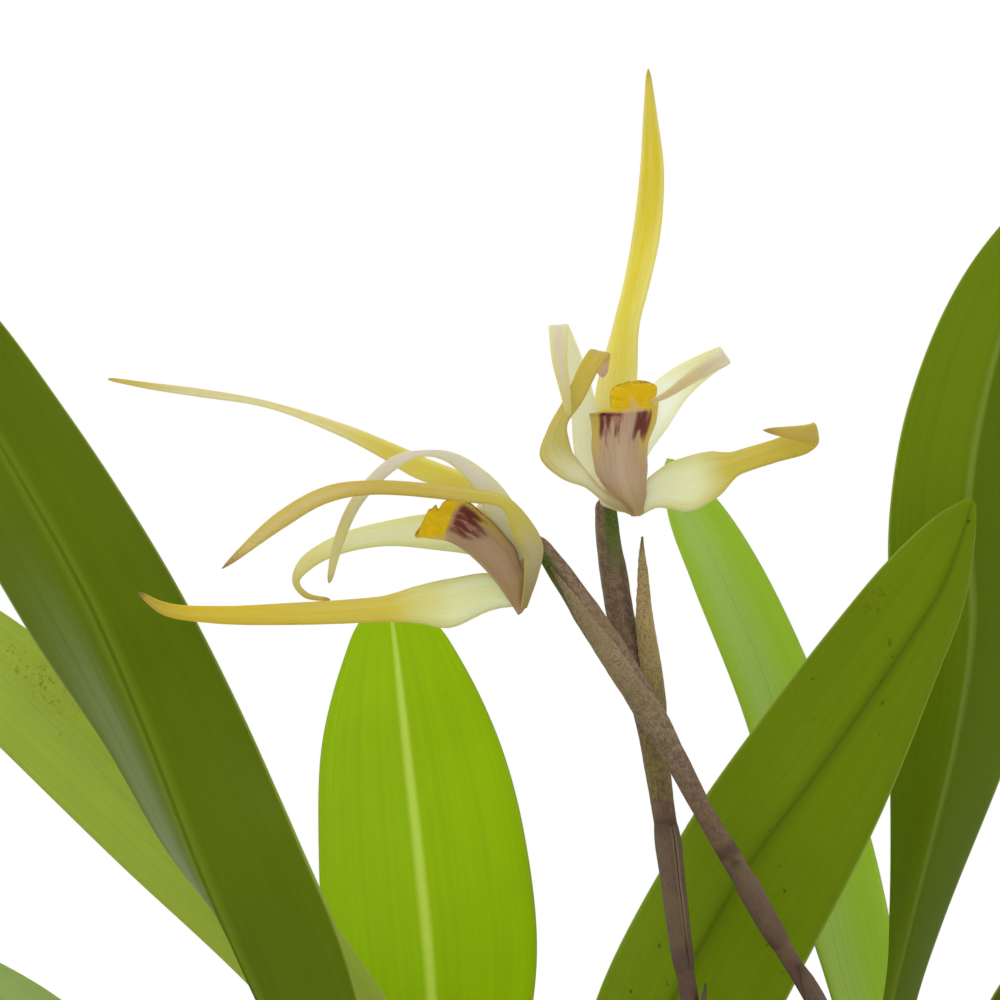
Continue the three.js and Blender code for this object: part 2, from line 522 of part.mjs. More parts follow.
// Dry sheaths: a papery scale rolled round the lower half of each younger bulb, open on one side. The
// number is the way it faces. A row is a place up the bulb, its radius in bulb widths and its wrap.
const sheathRows = [[0.02, 0.72, 150], [0.2, 1.03, 140], [0.45, 1.2, 110], [0.66, 1.17, 62], [0.8, 1.12, 6]];
const sheathed = {
  left_front: -100, left_back: 10, middle_back: 130, right_front: -60,
  right_tall: -30, right_back: 30, near_left: -90, right_low: -20,
};
for (const [name, turn] of Object.entries(sheathed)) {
  const bulb = bulbs.find((candidate) => candidate.name === name);
  const { foot, apex, size } = bulb;
  const facing = THREE.MathUtils.degToRad(turn);
  const out = [Math.cos(facing), Math.sin(facing), 0];
  const rows = sheathRows.map(([t, spread, wrap]) => {
    const radius = Math.max(...size) * spread + SHEATH.stand;
    const centre = [0, 1].map((axis) => THREE.MathUtils.lerp(foot[axis], apex[axis], t));
    const height = THREE.MathUtils.lerp(RHIZOME.padTop + SHEATH.stand, apex[2], t);
    return [centre[0] + radius * out[0], centre[1] + radius * out[1], height, ...out, radius, wrap];
  });
  const solid = rolledBlade(rowFrames(rows), rows.length);
  addPart(`sheath_${name}`, solid.subtract(bulbSolid(bulb, GAP)), SHEATH_STRAW);
}

// Bracts: each is rolled round its scape, open on one side. A row is a place on the scape, from 0 at
// the ground to 1 at the flower, how far the bract stands off there, and half the angle it wraps. It
// stands off the way it faces, or the way it leans.
const bracts = {
  left_floral: {
    facing: [-0.3, -1, -0.2],
    rows: [
      [0.645, 0, 165], [0.695, 0, 120], [0.74, 0, 56], [0.82, 0, 36], [0.9, 0, 24], [0.96, 0.1, 6],
    ],
  },
  left_middle: { facing: [0, -1, 0.2], rows: [[0.405, 0, 165], [0.45, 0, 140], [0.5, 0.1, 12]] },
  left_lower: {
    facing: [0.6, -1, 0.1], rows: [[0.214, 0, 165], [0.3, 0, 150], [0.35, 0.1, 90], [0.39, 0.4, 10]],
  },
  right_floral: {
    facing: [0.5, -0.85, 0.1], lean: [1, -0.2, 0],
    rows: [
      [0.548, 0, 165], [0.6, 0.1, 110], [0.625, 0.6, 78], [0.65, 1.3, 60], [0.7, 1.9, 60],
      [0.757, 2.5, 46], [0.805, 2.9, 34], [0.88, 3.5, 18], [0.928, 4.1, 4],
    ],
  },
  right_middle: { facing: [-0.6, 0.8, 0.1], rows: [[0.34, 0, 173], [0.44, 0, 171], [0.53, 0, 160]] },
  right_lower: {
    facing: [1, -0.5, 0], rows: [[0.158, 0, 165], [0.22, 0, 150], [0.28, 0.3, 70], [0.325, 1.4, 8]],
  },
};

function bractSolid(scape, { facing, lean = facing, rows }) {
  const axis = smoothCurve(scape.map((r) => r.slice(0, 3)));
  const frameAt = (t) => {
    const place = THREE.MathUtils.lerp(rows[0][0], rows[rows.length - 1][0], t);
    const next = Math.max(1, rows.findIndex((r) => r[0] >= place - 1e-9));
    const share = (place - rows[next - 1][0]) / (rows[next][0] - rows[next - 1][0]);
    const [lift, wrap] = [1, 2].map((k) => THREE.MathUtils.lerp(rows[next - 1][k], rows[next][k], share));
    const along = axis.getTangent(place);
    const [out, away] = [facing, lean].map((row) => (
      vector(...row).addScaledVector(along, -along.dot(vector(...row))).normalize()
    ));
    const radius = smoothRow(scape.map((r) => r[3]), place) + GAP + SHEATH.thickness / 2 + BRACT.stand;
    const back = axis.getPoint(place).addScaledVector(out, radius).addScaledVector(away, lift);
    return { back, out, along, radius, wrap };
  };
  return rolledBlade(frameAt, BRACT.perRow * rows.length);
}

// Flowers. The left one is seen from the side and opens to the left; the right one opens upwards,
// with the back of its lip to the front. Rows run from the base to the tip.
const flowers = {
  left: {
    column: [
      [-20.9, -10, 244.6, 1.4], [-24.5, -9.9, 247.4, 1.4], [-28.4, -9.8, 250, 1.5],
      [-30.6, -9.8, 250.9, 0.9],
    ],
    foot: [[-22.2, -10, 245.4, 1.3], [-22.6, -10.1, 241.4, 1.3], [-23.2, -10.3, 237.2, 1]],
    lip: [
      [-24, -10.6, 234.9, -0.5, -0.25, -0.85, 1.1, 70], [-26.6, -10.9, 238.9, -0.8, -0.25, -0.55, 2.8, 105],
      [-29.4, -11, 242.2, -0.78, -0.22, -0.6, 3.8, 118], [-32.6, -11, 245, -0.62, -0.2, -0.76, 4, 118],
      [-34.9, -11, 246.2, -0.5, -0.2, -0.84, 4.3, 112], [-36.2, -11, 246.4, -0.3, -0.2, -0.93, 4.4, 100],
      [-37.8, -11, 246.6, -0.2, -0.2, -0.96, 4.3, 86], [-39.6, -11, 246.8, -0.1, -0.2, -0.98, 3.4, 58],
    ],
    tepals: {
      dorsal_sepal: [
        [-22.8, -8.4, 247.7, 0.4, 0.4, 0.7], [-29.2, -8.6, 252.9, 0.65, 0.5, 1.4],
        [-39.3, -8.8, 257, 0.6, 0.3, 1.6], [-44.3, -9.2, 259.6, 0.5, 0.4, 1.25],
        [-51, -9.8, 262.7, 0.3, 0.7, 0.85], [-62, -10.2, 266.4, 0.1, 0.8, 0.38],
        [-72, -10.4, 268.1, 0.08, 0.6, 0.55], [-79.5, -10.6, 269.1, 0.06, 0.3, 0.45],
        [-85.7, -10.8, 270.1, 0.02, 0.1, 0.2],
      ],
      front_petal: [
        [-22.2, -12.4, 246.2, 0.9, 0.3, 0.6], [-25.4, -13, 249.9, 1.2, 0.1, 1],
        [-29, -13.6, 254.3, 1.1, 0, 1], [-34.2, -14.2, 258.3, 0.5, 0.5, 0.7],
        [-38.4, -14.6, 259, 0, 0.9, 0.35], [-42.6, -14.8, 257.7, -0.6, 0.4, 0.75],
        [-48.3, -14.8, 251.9, -0.8, 0, 0.4], [-51.2, -14.6, 245.4, -0.75, 0, 0.2],
        [-52.5, -14.4, 239.6, -0.4, 0, 0],
      ],
      front_lateral_sepal: [
        [-23.1, -11.6, 236.4, 0.9, 0.3, 0.4], [-22.1, -14.4, 241, 0.9, 0.5, 0],
        [-21.7, -15.2, 244.6, 1.3, 0.7, 0.45], [-23.6, -15.9, 247.6, 1.2, 0.9, 1.4],
        [-26.4, -16.8, 251.7, 0.3, 0.9, 0.9], [-32.3, -17.2, 252.8, 0, 0.6, 1.05],
        [-45.8, -17.8, 253.9, 0, 0.5, 1.05], [-52.8, -17.6, 252.8, -0.15, 0.2, 1.25],
        [-59.5, -16.8, 249.1, -0.6, 0, 1.1], [-68.4, -15.5, 241.8, -0.25, 0, 0.2],
      ],
      back_petal: [
        [-22.2, -7.4, 246.4, 0.3, 0.2, 1.2], [-27, -5.8, 246.2, 0.3, 0.2, 3],
        [-35, -4.5, 247.2, 0.25, 0, 2.9], [-44.3, -4.6, 246.9, -0.2, 0, 1.85],
        [-51.4, -5.4, 245.2, -0.5, 0, 1.35], [-56.2, -6.6, 242.4, -0.9, 0, 0.7],
        [-57.7, -6.9, 239.7, -0.55, 0, 0], [-56.2, -7.3, 237.7, -0.3, 0, -0.35],
        [-52.5, -8, 237, 0, 0, -0.28],
      ],
      back_lateral_sepal: [
        [-24.6, -9, 237, 0.3, 0, 1], [-28, -8.6, 238.2, 0, 0.2, 2.7], [-34.5, -8.6, 236.5, 0, 0.1, 3.7],
        [-39.4, -8.8, 236.3, 0, 0, 2.8], [-45, -9.2, 235.6, 0, 0, 1.9], [-58.5, -9.6, 234.9, 0, 0, 1.65],
        [-70, -10, 234.8, 0, 0, 1.3], [-77.3, -10.2, 235.7, 0.2, 0, 0.95],
        [-81.3, -10.6, 238.2, 0.2, 0, 0.2],
      ],
    },
  },
  right: {
    column: [
      [-11.6, -8.2, 251.8, 1.4], [-10.6, -9.6, 256.6, 1.4], [-9.6, -10.8, 261.4, 1.5],
      [-9.3, -11, 263.4, 0.9],
    ],
    foot: [[-11, -8.8, 252.2, 1.3], [-9.2, -11, 251.6, 1.3], [-7.5, -13, 250.9, 1]],
    lip: [
      [-6.3, -14, 249.7, 0.4, -0.8, -0.4, 1, 70], [-6.9, -14.9, 252.8, 0.4, -0.9, -0.1, 2.7, 100],
      [-7.4, -15.2, 257, 0.4, -0.9, 0, 3.8, 115], [-7.4, -15.4, 261, 0.4, -0.9, 0, 4.1, 115],
      [-6.7, -15.8, 264.4, 0.38, -0.9, 0, 5, 104], [-6.2, -16.6, 266.6, 0.35, -0.9, -0.2, 4.6, 58],
      [-6, -18.2, 268.4, 0.3, -0.75, -0.6, 4.5, 50], [-6, -20, 269.4, 0.25, -0.5, -0.8, 3.8, 36],
    ],
    tepals: {
      dorsal_sepal: [
        [-10.9, -5.9, 253.6, 2, 0.5, 0], [-10.3, -4.6, 261, 3.2, 0.4, 0], [-9.3, -3.4, 270, 3, 0, 0.3],
        [-8, -2.6, 278.7, 2, -1.3, 0.3], [-6.6, -2.1, 284.2, 2, -1.4, 0.3],
        [-4.9, -1.7, 292.4, 2.1, -0.9, 0.2], [-4, -1, 302, 1.8, -0.4, 0],
        [-4.2, 0, 310, 1.1, 0, 0], [-4.5, 0.8, 317.4, 0.3, 0, 0],
      ],
      left_petal: [
        [-12.5, -6.9, 253.6, 1.1, 0.6, 0], [-13.9, -7, 259, 1.8, 0.8, 0], [-14.3, -7.3, 265.4, 2, 0.5, -0.2],
        [-16.1, -8, 273, 1.7, 0.2, -0.4], [-18.1, -9.2, 277.8, 1.5, 0, 0.1],
        [-18.2, -11.4, 277.5, 1.45, 0, 0.1], [-18.1, -13.6, 272.8, 1.15, 0, 0],
        [-17.3, -16.8, 268.2, 0.8, 0, 0], [-16.8, -18.6, 264.2, 0.3, 0, 0],
      ],
      right_petal: [
        [-9, -6.6, 253.4, 1.6, 0.4, -0.2], [-7, -6.6, 259.6, 2.3, 0.3, -0.9],
        [-4.1, -7, 264.8, 2.4, 0.2, -1.8], [0, -7.8, 269.6, 1.6, 0.1, -1.75],
        [6.2, -9.4, 273.6, 0.8, 0, -1.2], [6.4, -11.4, 273.4, 0.8, 0, -1.15],
        [2, -13.6, 270.6, 0.4, 0, -0.9], [-2.2, -17.6, 267.7, 0.2, 0, -0.5],
        [-4.6, -20.6, 266.5, 0.1, 0, -0.3],
      ],
      left_lateral_sepal: [
        [-7.6, -14.6, 250.3, 0.1, -0.1, -0.5], [-8.8, -15.4, 251, 0.2, -0.2, -0.75],
        [-11.4, -15.5, 252.5, 0.25, -0.35, -1.1], [-14.3, -14.2, 255.3, 0.1, -0.4, -1.5],
        [-17.1, -14.2, 257.2, -0.9, -0.3, -1.9], [-18.9, -14.8, 259.8, -2.15, 0, -1.3],
        [-18.4, -15.2, 263, -1.5, 0, -0.4], [-16, -15.4, 267, -1.3, 0, 0.3],
        [-13.6, -15, 271.9, -1.5, 0, 0.2], [-12.1, -13.5, 274, -1.5, 0, 0.3],
        [-11.8, -11.9, 272.7, -1.15, 0, 0.2], [-11.7, -10.8, 270.5, -0.7, 0, 0.1],
      ],
      right_lateral_sepal: [
        [-4.6, -12.8, 253.3, -0.1, 0, 2.15], [-1.9, -12.3, 254.1, 0, 0, 3.3], [1.6, -12.2, 254.5, 0, 0, 4.2],
        [5.1, -12.4, 255.9, -0.6, 0, 3.4], [8.4, -12.7, 257.5, -0.4, 0, 1.75],
        [14, -12.7, 259.3, -0.2, 0, 1.7], [18.6, -12.4, 260.9, -0.3, 0, 1.95],
        [20.3, -13.4, 262, -0.3, 0, 1.6], [18.6, -15, 261.9, 0, 0, 1.3], [12.2, -16.2, 262.4, 0, 0, 0.3],
      ],
    },
  },
};

// Each piece of a flower is cut clear of the stem, the column with its foot, and the pieces before it.
for (const [name, bract] of Object.entries(bracts)) {
  addPart(`bract_${name}`, bractSolid(scapes[name.split('_')[0]], bract), SCAPE_BROWN);
}
for (const [side, flower] of Object.entries(flowers)) {
  const columnSolid = (grow) => stem(flower.column, { grow }).add(stem(flower.foot, { grow }));
  const stalk = stem(scapes[side], { grow: GAP });
  addPart(`column_${side}`, columnSolid(0).subtract(stalk), COLUMN_WHITE);
  const taken = [stalk, columnSolid(GAP)];
  const lip = (grow) => rolledBlade(
    rowFrames(flower.lip), LIP.steps, { strips: LIP.strips, wave: LIP.wave, grow },
  );
  addPart(`lip_${side}`, cutAll(lip(0), taken), LIP_BUFF);
  taken.push(lip(GAP));
  for (const [name, rows] of Object.entries(flower.tepals)) {
    const material = name.endsWith('petal') ? PETAL_CREAM : SEPAL_YELLOW;
    addPart(`${name}_${side}`, cutAll(tepalBlade(rows), taken), material);
    taken.push(tepalBlade(rows, GAP));
  }
}

export default part;
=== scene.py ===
"""A potted Maxillaria orchid in flower: clustered pseudobulbs in bark, strap leaves and two flowers.

Lengths in the tables are millimetres in the part's frame: +Z up, X to the right, Y to the back.
A row list is read along a centripetal Catmull-Rom curve, with each span given an equal share of t.
A leaf's midrib and its two edges are curves of their own. Between them it is the midrib plus u times
half the difference of the two half widths, plus |u| to the power FOLD times half their sum, so it
folds along the midrib. A sepal or petal is its middle line plus u times its half width, with its
edges lifted by the square of u. A lip, bract or sheath is an arc of a given radius and angle carried
along its back line. Each is then thickened along its normals.
"""
import math

import bpy
import numpy as np
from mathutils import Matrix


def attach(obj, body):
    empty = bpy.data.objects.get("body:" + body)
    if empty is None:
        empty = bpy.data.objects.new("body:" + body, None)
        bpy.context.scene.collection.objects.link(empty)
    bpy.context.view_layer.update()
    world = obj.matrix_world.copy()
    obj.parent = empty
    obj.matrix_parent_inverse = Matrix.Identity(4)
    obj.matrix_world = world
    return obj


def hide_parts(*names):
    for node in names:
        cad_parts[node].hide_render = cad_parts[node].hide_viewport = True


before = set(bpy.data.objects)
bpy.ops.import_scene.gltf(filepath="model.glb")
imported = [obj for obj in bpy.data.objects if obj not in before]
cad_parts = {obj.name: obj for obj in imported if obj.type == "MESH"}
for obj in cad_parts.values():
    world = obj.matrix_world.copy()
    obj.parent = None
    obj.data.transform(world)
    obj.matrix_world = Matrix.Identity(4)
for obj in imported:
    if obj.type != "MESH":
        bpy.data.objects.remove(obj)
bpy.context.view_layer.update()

MM = 0.001

# Camera: level with the flowers, far enough away that the pot and the leaf bases fall below its view.
camera_data = bpy.data.cameras.new("camera")
camera_data.sensor_width = 36.0
camera_data.lens = 216.0
camera_data.clip_start = 0.05
camera_data.clip_end = 30.0
camera = bpy.data.objects.new("camera", camera_data)
camera.location = (-27 * MM, -910 * MM, 252 * MM)
camera.rotation_euler = (math.pi / 2, 0.0, 0.0)
bpy.context.scene.collection.objects.link(camera)
bpy.context.scene.camera = camera
bpy.context.scene.view_settings.view_transform = "Standard"

# Studio: a white backdrop that also lights the plant from behind, with a softer fill from the front,
# a large soft lamp above and a plain pale floor under the pot.
world = bpy.data.worlds.new("studio")
bpy.context.scene.world = world
world.use_nodes = True
sky = world.node_tree
sky.nodes.clear()
direction = sky.nodes.new("ShaderNodeTexCoord")
split = sky.nodes.new("ShaderNodeSeparateXYZ")
sky.links.new(direction.outputs["Generated"], split.inputs[0])
brightness = sky.nodes.new("ShaderNodeMapRange")
brightness.inputs["From Min"].default_value = -0.6
brightness.inputs["From Max"].default_value = 0.7
brightness.inputs["To Min"].default_value = 0.55
brightness.inputs["To Max"].default_value = 1.25
sky.links.new(split.outputs["Y"], brightness.inputs["Value"])
lit = sky.nodes.new("ShaderNodeBackground")
sky.links.new(brightness.outputs["Result"], lit.inputs["Strength"])
seen = sky.nodes.new("ShaderNodeBackground")
seen.inputs["Strength"].default_value = 1.0
for background in (lit, seen):
    background.inputs["Color"].default_value = (1.0, 1.0, 1.0, 1.0)
ray = sky.nodes.new("ShaderNodeLightPath")
choose = sky.nodes.new("ShaderNodeMixShader")
sky.links.new(ray.outputs["Is Camera Ray"], choose.inputs["Fac"])
sky.links.new(lit.outputs[0], choose.inputs[1])
sky.links.new(seen.outputs[0], choose.inputs[2])
sky.links.new(choose.outputs[0], sky.nodes.new("ShaderNodeOutputWorld").inputs["Surface"])

for lamp_name, place, aim, size, power in (
    ("lamp_above", (-0.5, -0.55, 1.15), (0.0, 0.0, 0.2), 0.8, 7.0),
    ("lamp_right", (1.1, -0.5, 0.6), (0.0, 0.0, 0.2), 0.7, 3.0),
):
    lamp_data = bpy.data.lights.new(lamp_name, "AREA")
    lamp_data.size = size
    lamp_data.energy = power
    lamp = bpy.data.objects.new(lamp_name, lamp_data)
    lamp.location = place
    x, y, z = (a - b for a, b in zip(aim, place))
    lamp.rotation_euler = (math.atan2(math.hypot(x, y), -z), 0.0, math.atan2(-x, y))
    bpy.context.scene.collection.objects.link(lamp)

FLOOR_RADIUS = 1.2
floor_turns = np.linspace(0.0, 2 * math.pi, 96, endpoint=False)
floor_ring = np.stack([np.cos(floor_turns), np.sin(floor_turns), 0 * floor_turns], 1) * FLOOR_RADIUS
floor_mesh = bpy.data.meshes.new("floor")
floor_mesh.from_pydata(floor_ring.tolist(), [], [list(range(len(floor_ring)))])
floor = bpy.data.objects.new("floor", floor_mesh)
bpy.context.scene.collection.objects.link(floor)
floor_look = bpy.data.materials.new("floor_pale")
floor_look.use_nodes = True
floor_shader = floor_look.node_tree.nodes["Principled BSDF"]
floor_shader.inputs["Base Color"].default_value = (0.83, 0.83, 0.83, 1.0)
floor_shader.inputs["Roughness"].default_value = 0.7
floor_mesh.materials.append(floor_look)


# Pot: thrown terracotta with a thick rim band, turned smooth, with four drain holes in its foot.
# The clay is dry and matt, with faint throwing lines, pale lime bloom and darker damp patches.
class Wire:
    """A value in a shader that ordinary arithmetic works on. Each operation is one Math node."""

    def __init__(self, look, socket):
        self.look = look
        self.socket = socket

    def math(self, operation, *others):
        values = dict(enumerate((self, *others)))
        return self.look.node("ShaderNodeMath", values, operation=operation)

    def __add__(self, other):
        return self.math("ADD", other)

    def __mul__(self, other):
        return self.math("MULTIPLY", other)

    def __sub__(self, other):
        return self.math("SUBTRACT", other)

    def __abs__(self):
        return self.math("ABSOLUTE")

    __radd__ = __add__

    def sine(self):
        return self.math("SINE")

    def step(self, low, high):
        """0 below low and 1 above high, with a smooth rise between; low may be the greater."""
        ends = {"Value": self, "From Min": low, "From Max": high}
        return self.look.node("ShaderNodeMapRange", ends, interpolation_type="SMOOTHSTEP")


class Look:
    """A material with one Principled shader, whose constants are set by socket name."""

    def __init__(self, name, **constants):
        self.material = bpy.data.materials.new(name)
        self.material.use_nodes = True
        self.tree = self.material.node_tree
        self.shader = self.tree.nodes["Principled BSDF"]
        for socket, value in constants.items():
            self.shader.inputs[socket.replace("_", " ")].default_value = value

    def put(self, socket, value):
        """Links a value to a socket, or sets the socket to a plain number or colour."""
        if isinstance(value, Wire):
            self.tree.links.new(value.socket, socket)
        elif isinstance(value, tuple) and socket.type == "RGBA":
            socket.default_value = (*value[:3], 1.0)
        else:
            socket.default_value = value

    def node(self, kind, values, output=0, **settings):
        made = self.tree.nodes.new(kind)
        for setting, value in settings.items():
            setattr(made, setting, value)
        for socket, value in values.items():
            self.put(made.inputs[socket], value)
        return Wire(self, made.outputs[output])

    def where(self):
        return self.node("ShaderNodeTexCoord", {}, output="Object")

    def uv(self):
        """The piece's own coordinates: u across it and v along it, both from 0 to 1."""
        both = self.node("ShaderNodeTexCoord", {}, output="UV")
        return [self.node("ShaderNodeSeparateXYZ", {0: both}, output=axis) for axis in ("X", "Y")]

    def side(self):
        """1 on a sheet's upper face and 0 on its lower one."""
        return self.node("ShaderNodeAttribute", {}, output="Fac", attribute_name="side")

    def joined(self, x, y, z=0.0):
        return self.node("ShaderNodeCombineXYZ", {0: x, 1: y, 2: z})

    def noise(self, place, scale, detail=3.0, rough=0.55):
        values = {"Vector": place, "Scale": scale, "Detail": detail, "Roughness": rough}
        return self.node("ShaderNodeTexNoise", values)

    def mix(self, share, one, other):
        values = {0: share, 6: one, 7: other}
        return self.node("ShaderNodeMix", values, output=2, data_type="RGBA")

    def bump(self, height, distance, strength=1.0):
        values = {"Height": height, "Distance": distance, "Strength": strength}
        self.put(self.shader.inputs["Normal"], self.node("ShaderNodeBump", values))

    def paint(self, **values):
        for socket, value in values.items():
            self.put(self.shader.inputs[socket.replace("_", " ")], value)

    def glow_through(self, color, share):
        """Lets that share of the light through, tinted, as a thin leaf or petal does."""
        through = self.node("ShaderNodeBsdfTranslucent", {"Color": color})
        opaque = Wire(self, self.shader.outputs[0])
        mixed = self.node("ShaderNodeMixShader", {0: share, 1: opaque, 2: through})
        self.tree.links.new(mixed.socket, self.tree.nodes["Material Output"].inputs["Surface"])


def add_piece(name, points, faces, look, node, uv=None, side=None):
    """A smooth-shaded mesh object from points in millimetres, which replaces its solid."""
    mesh = bpy.data.meshes.new(name)
    mesh.from_pydata((np.asarray(points) * MM).tolist(), [], [list(face) for face in faces])
    corners = np.empty(len(mesh.loops), np.int32)
    mesh.loops.foreach_get("vertex_index", corners)
    if uv is not None:
        layer = mesh.uv_layers.new(name="UVMap")
        layer.data.foreach_set("uv", np.asarray(uv, np.float32)[corners].ravel())
    if side is not None:
        mesh.attributes.new("side", "FLOAT", "POINT").data.foreach_set("value", np.asarray(side, np.float32))
    mesh.shade_smooth()
    mesh.materials.append(look.material)
    piece = bpy.data.objects.new(name, mesh)
    bpy.context.scene.collection.objects.link(piece)
    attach(piece, "root")
    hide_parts(node)
    return piece


def tube_faces(rings, sides, first=0):
    """Quads between rings of points, with a fan to a pole point at each end, facing outwards."""
    ring = np.arange(rings)[:, None] * sides + first
    k = np.arange(sides)[None, :]
    near, far = ring[:-1], ring[1:]
    after = (k + 1) % sides
    walls = np.stack([near + k, near + after, far + after, far + k], -1).reshape(-1, 4)
    low, high = first + rings * sides, first + rings * sides + 1
    last = first + (rings - 1) * sides
    ends = [[low, first + (i + 1) % sides, first + i] for i in range(sides)]
    ends += [[high, last + i, last + (i + 1) % sides] for i in range(sides)]
    return walls.tolist() + ends


def turned(profile, sides):
    """Rings of points of a profile, whose rows are a radius and a height, about the upright axis."""
    turn = np.linspace(0, 2 * math.pi, sides, endpoint=False)
    x, y = profile[:, :1] * np.cos(turn), profile[:, :1] * np.sin(turn)
    return np.stack([x, y, np.repeat(profile[:, 1:], sides, 1)], -1)


POT = {"base": 48, "neck": 61, "rim": 69, "height": 104, "band": 22, "wall": 4.5, "floor": 5}
POT_SIDES = 144
DRAIN_OUT = 24
DRAIN_RADIUS = 4.5
DRAIN_SIDES = 32
DRILL_ENDS = (-2.0, 8.0)


def pot_inner(z):
    """The radius of the pot's inside at a height."""
    return POT["base"] - POT["wall"] + (POT["neck"] - POT["base"]) * (z - POT["floor"]) / (
        POT["height"] - POT["floor"])


base, neck, rim, top, floor_top = (POT[k] for k in ("base", "neck", "rim", "height", "floor"))
band_low = top - POT["band"]
profile = np.array([
    (0.5, 0), (base - 2, 0), (base - 0.6, 0.3), (base, 1.4), (50.6, 20), (53.4, 40), (56.2, 60),
    (neck - 1.6, band_low - 2.4), (neck - 0.4, band_low - 0.8), (rim - 2.6, band_low),
    (rim - 1.4, band_low + 0.8), (rim - 1, band_low + 2.4), (rim - 0.4, top - 6), (rim - 0.2, top - 2.6),
    (rim - 1, top - 0.8), (rim - 2.6, top), (pot_inner(104) + 2.6, top), (pot_inner(104) + 0.9, top - 0.7),
    (pot_inner(101), top - 2.6), (pot_inner(90), 90), (pot_inner(60), 60), (pot_inner(30), 30),
    (pot_inner(9), 9), (pot_inner(5) - 1.6, 5.8), (pot_inner(5) - 4, floor_top), (0.5, floor_top),
])
pot_points = np.vstack([turned(profile, POT_SIDES).reshape(-1, 3), [(0, 0, 0), (0, 0, floor_top)]])

clay = Look("terracotta", Roughness=0.88, Specular_IOR_Level=0.25)
spot = clay.where()
height_up = clay.node("ShaderNodeSeparateXYZ", {0: spot}, output="Z")
cloud = clay.noise(spot, 22.0, 4.0)
grit = clay.noise(spot, 900.0, 2.0)
bloom = clay.noise(spot, 46.0, 5.0, 0.7).step(0.53, 0.72)
damp = (height_up * (1 / MM) + clay.noise(spot, 30.0) * 40.0).step(74.0, 30.0)
fired = clay.mix(cloud, (0.40, 0.125, 0.062), (0.53, 0.20, 0.10))
fired = clay.mix(damp * 0.45, fired, (0.25, 0.085, 0.045))
fired = clay.mix(bloom * 0.28, fired, (0.62, 0.50, 0.40))
fired = clay.mix(grit.step(0.60, 0.72) * 0.35, fired, (0.28, 0.09, 0.05))
lines = (height_up * (2 * math.pi / (2.3 * MM)) + cloud * 3.0).sine()
clay.paint(Base_Color=fired, Roughness=0.80 + cloud * 0.16)
clay.bump(lines * 0.18 + grit * 0.5 + cloud * 0.6, 0.0006, 0.5)
pot = add_piece("pot_turned", pot_points, tube_faces(len(profile), POT_SIDES), clay, "pot")
drill_faces = tube_faces(2, DRAIN_SIDES)
around = np.linspace(0, 2 * math.pi, DRAIN_SIDES, endpoint=False)
for quarter in range(4):
    middle = (quarter + 0.5) * math.pi / 2
    x, y = DRAIN_OUT * math.cos(middle), DRAIN_OUT * math.sin(middle)
    ring = np.stack([x + DRAIN_RADIUS * np.cos(around), y + DRAIN_RADIUS * np.sin(around)], 1)
    drill_points = [(*p, z) for z in DRILL_ENDS for p in ring] + [(x, y, z) for z in DRILL_ENDS]
    drill_mesh = bpy.data.meshes.new("drill")
    drill_mesh.from_pydata((np.array(drill_points) * MM).tolist(), [], drill_faces)
    drill = bpy.data.objects.new("drill", drill_mesh)
    bpy.context.scene.collection.objects.link(drill)
    cut = pot.modifiers.new("drain", "BOOLEAN")
    cut.object = drill
    cut.operation = "DIFFERENCE"
    cut.solver = "EXACT"
    bpy.context.view_layer.update()
    drained = bpy.data.meshes.new_from_object(pot.evaluated_get(bpy.context.evaluated_depsgraph_get()))
    pot.modifiers.clear()
    pot.data = drained
    bpy.data.objects.remove(drill)


# Pseudobulbs: flattened eggs of water-holding flesh, smooth and waxy with shallow ridges, each grown
# on the rhizome at its foot. The oldest has shed its leaf, and is wrinkled and yellower.
def tint(red, green, blue):
    """An sRGB colour from 0 to 255 as the linear colour that a shader takes."""
    channels = np.array((red, green, blue)) / 255
    low = channels / 12.92
    high = ((channels + 0.055) / 1.055) ** 2.4
    return tuple(float(c) for c in np.where(channels < 0.04045, low, high))


BULBS = {
    "left_front": ((-36, -7), (-40, -6, 126), (8, 6.5)), "left_back": ((-12, 27), (-15, 26, 124), (7.6, 6.2)),
    "left_low": ((-43, 12), (-47, 13, 118), (7, 6)), "middle_back": ((-31, 28), (-34, 30, 124), (8, 6.4)),
    "right_back": ((39, 20), (40, 21, 123), (7.2, 6)), "right_front": ((-17, 8), (-14, 8, 125), (8.2, 6.6)),
    "right_tall": ((20, 5), (23, 6, 127), (8.2, 6.8)), "right_low": ((42, -1), (44.5, -2, 117), (7, 6)),
    "near_left": ((-8, -29), (-8, -32, 118), (7.2, 6.2)), "near_right": ((22, -31), (23, -34, 117), (7, 6)),
    "far_right": ((13, 36), (14, 39, 118), (7, 6)), "old": ((-24, -23), (-25, -24, 113), (6.6, 5.8)),
}
BULB_LOW = 93.3
BULB_ENDS = (2.9, 2.6)
BULB_RINGS = 42
BULB_SIDES = 56


def bulb_look(name, pale, deep, scar):
    look = Look(name, Coat_Weight=0.12, Coat_Roughness=0.35)
    spot = look.where()
    _, rise = look.uv()
    patches = look.noise(spot, 120.0, 4.0)
    flecks = look.noise(spot, 900.0, 2.0)
    flesh = look.mix(patches.step(0.3, 0.7), tint(*deep), tint(*pale))
    flesh = look.mix(rise.step(0.35, 0.0) * 0.6, flesh, tint(150, 140, 80))
    flesh = look.mix(rise.step(0.93, 1.0), flesh, tint(*scar))
    flesh = look.mix(flecks.step(0.62, 0.72) * 0.5, flesh, tint(70, 60, 25))
    look.paint(Base_Color=flesh, Roughness=0.42 + patches * 0.2)
    look.bump(patches + flecks * 0.4, 0.0004, 0.6)
    return look


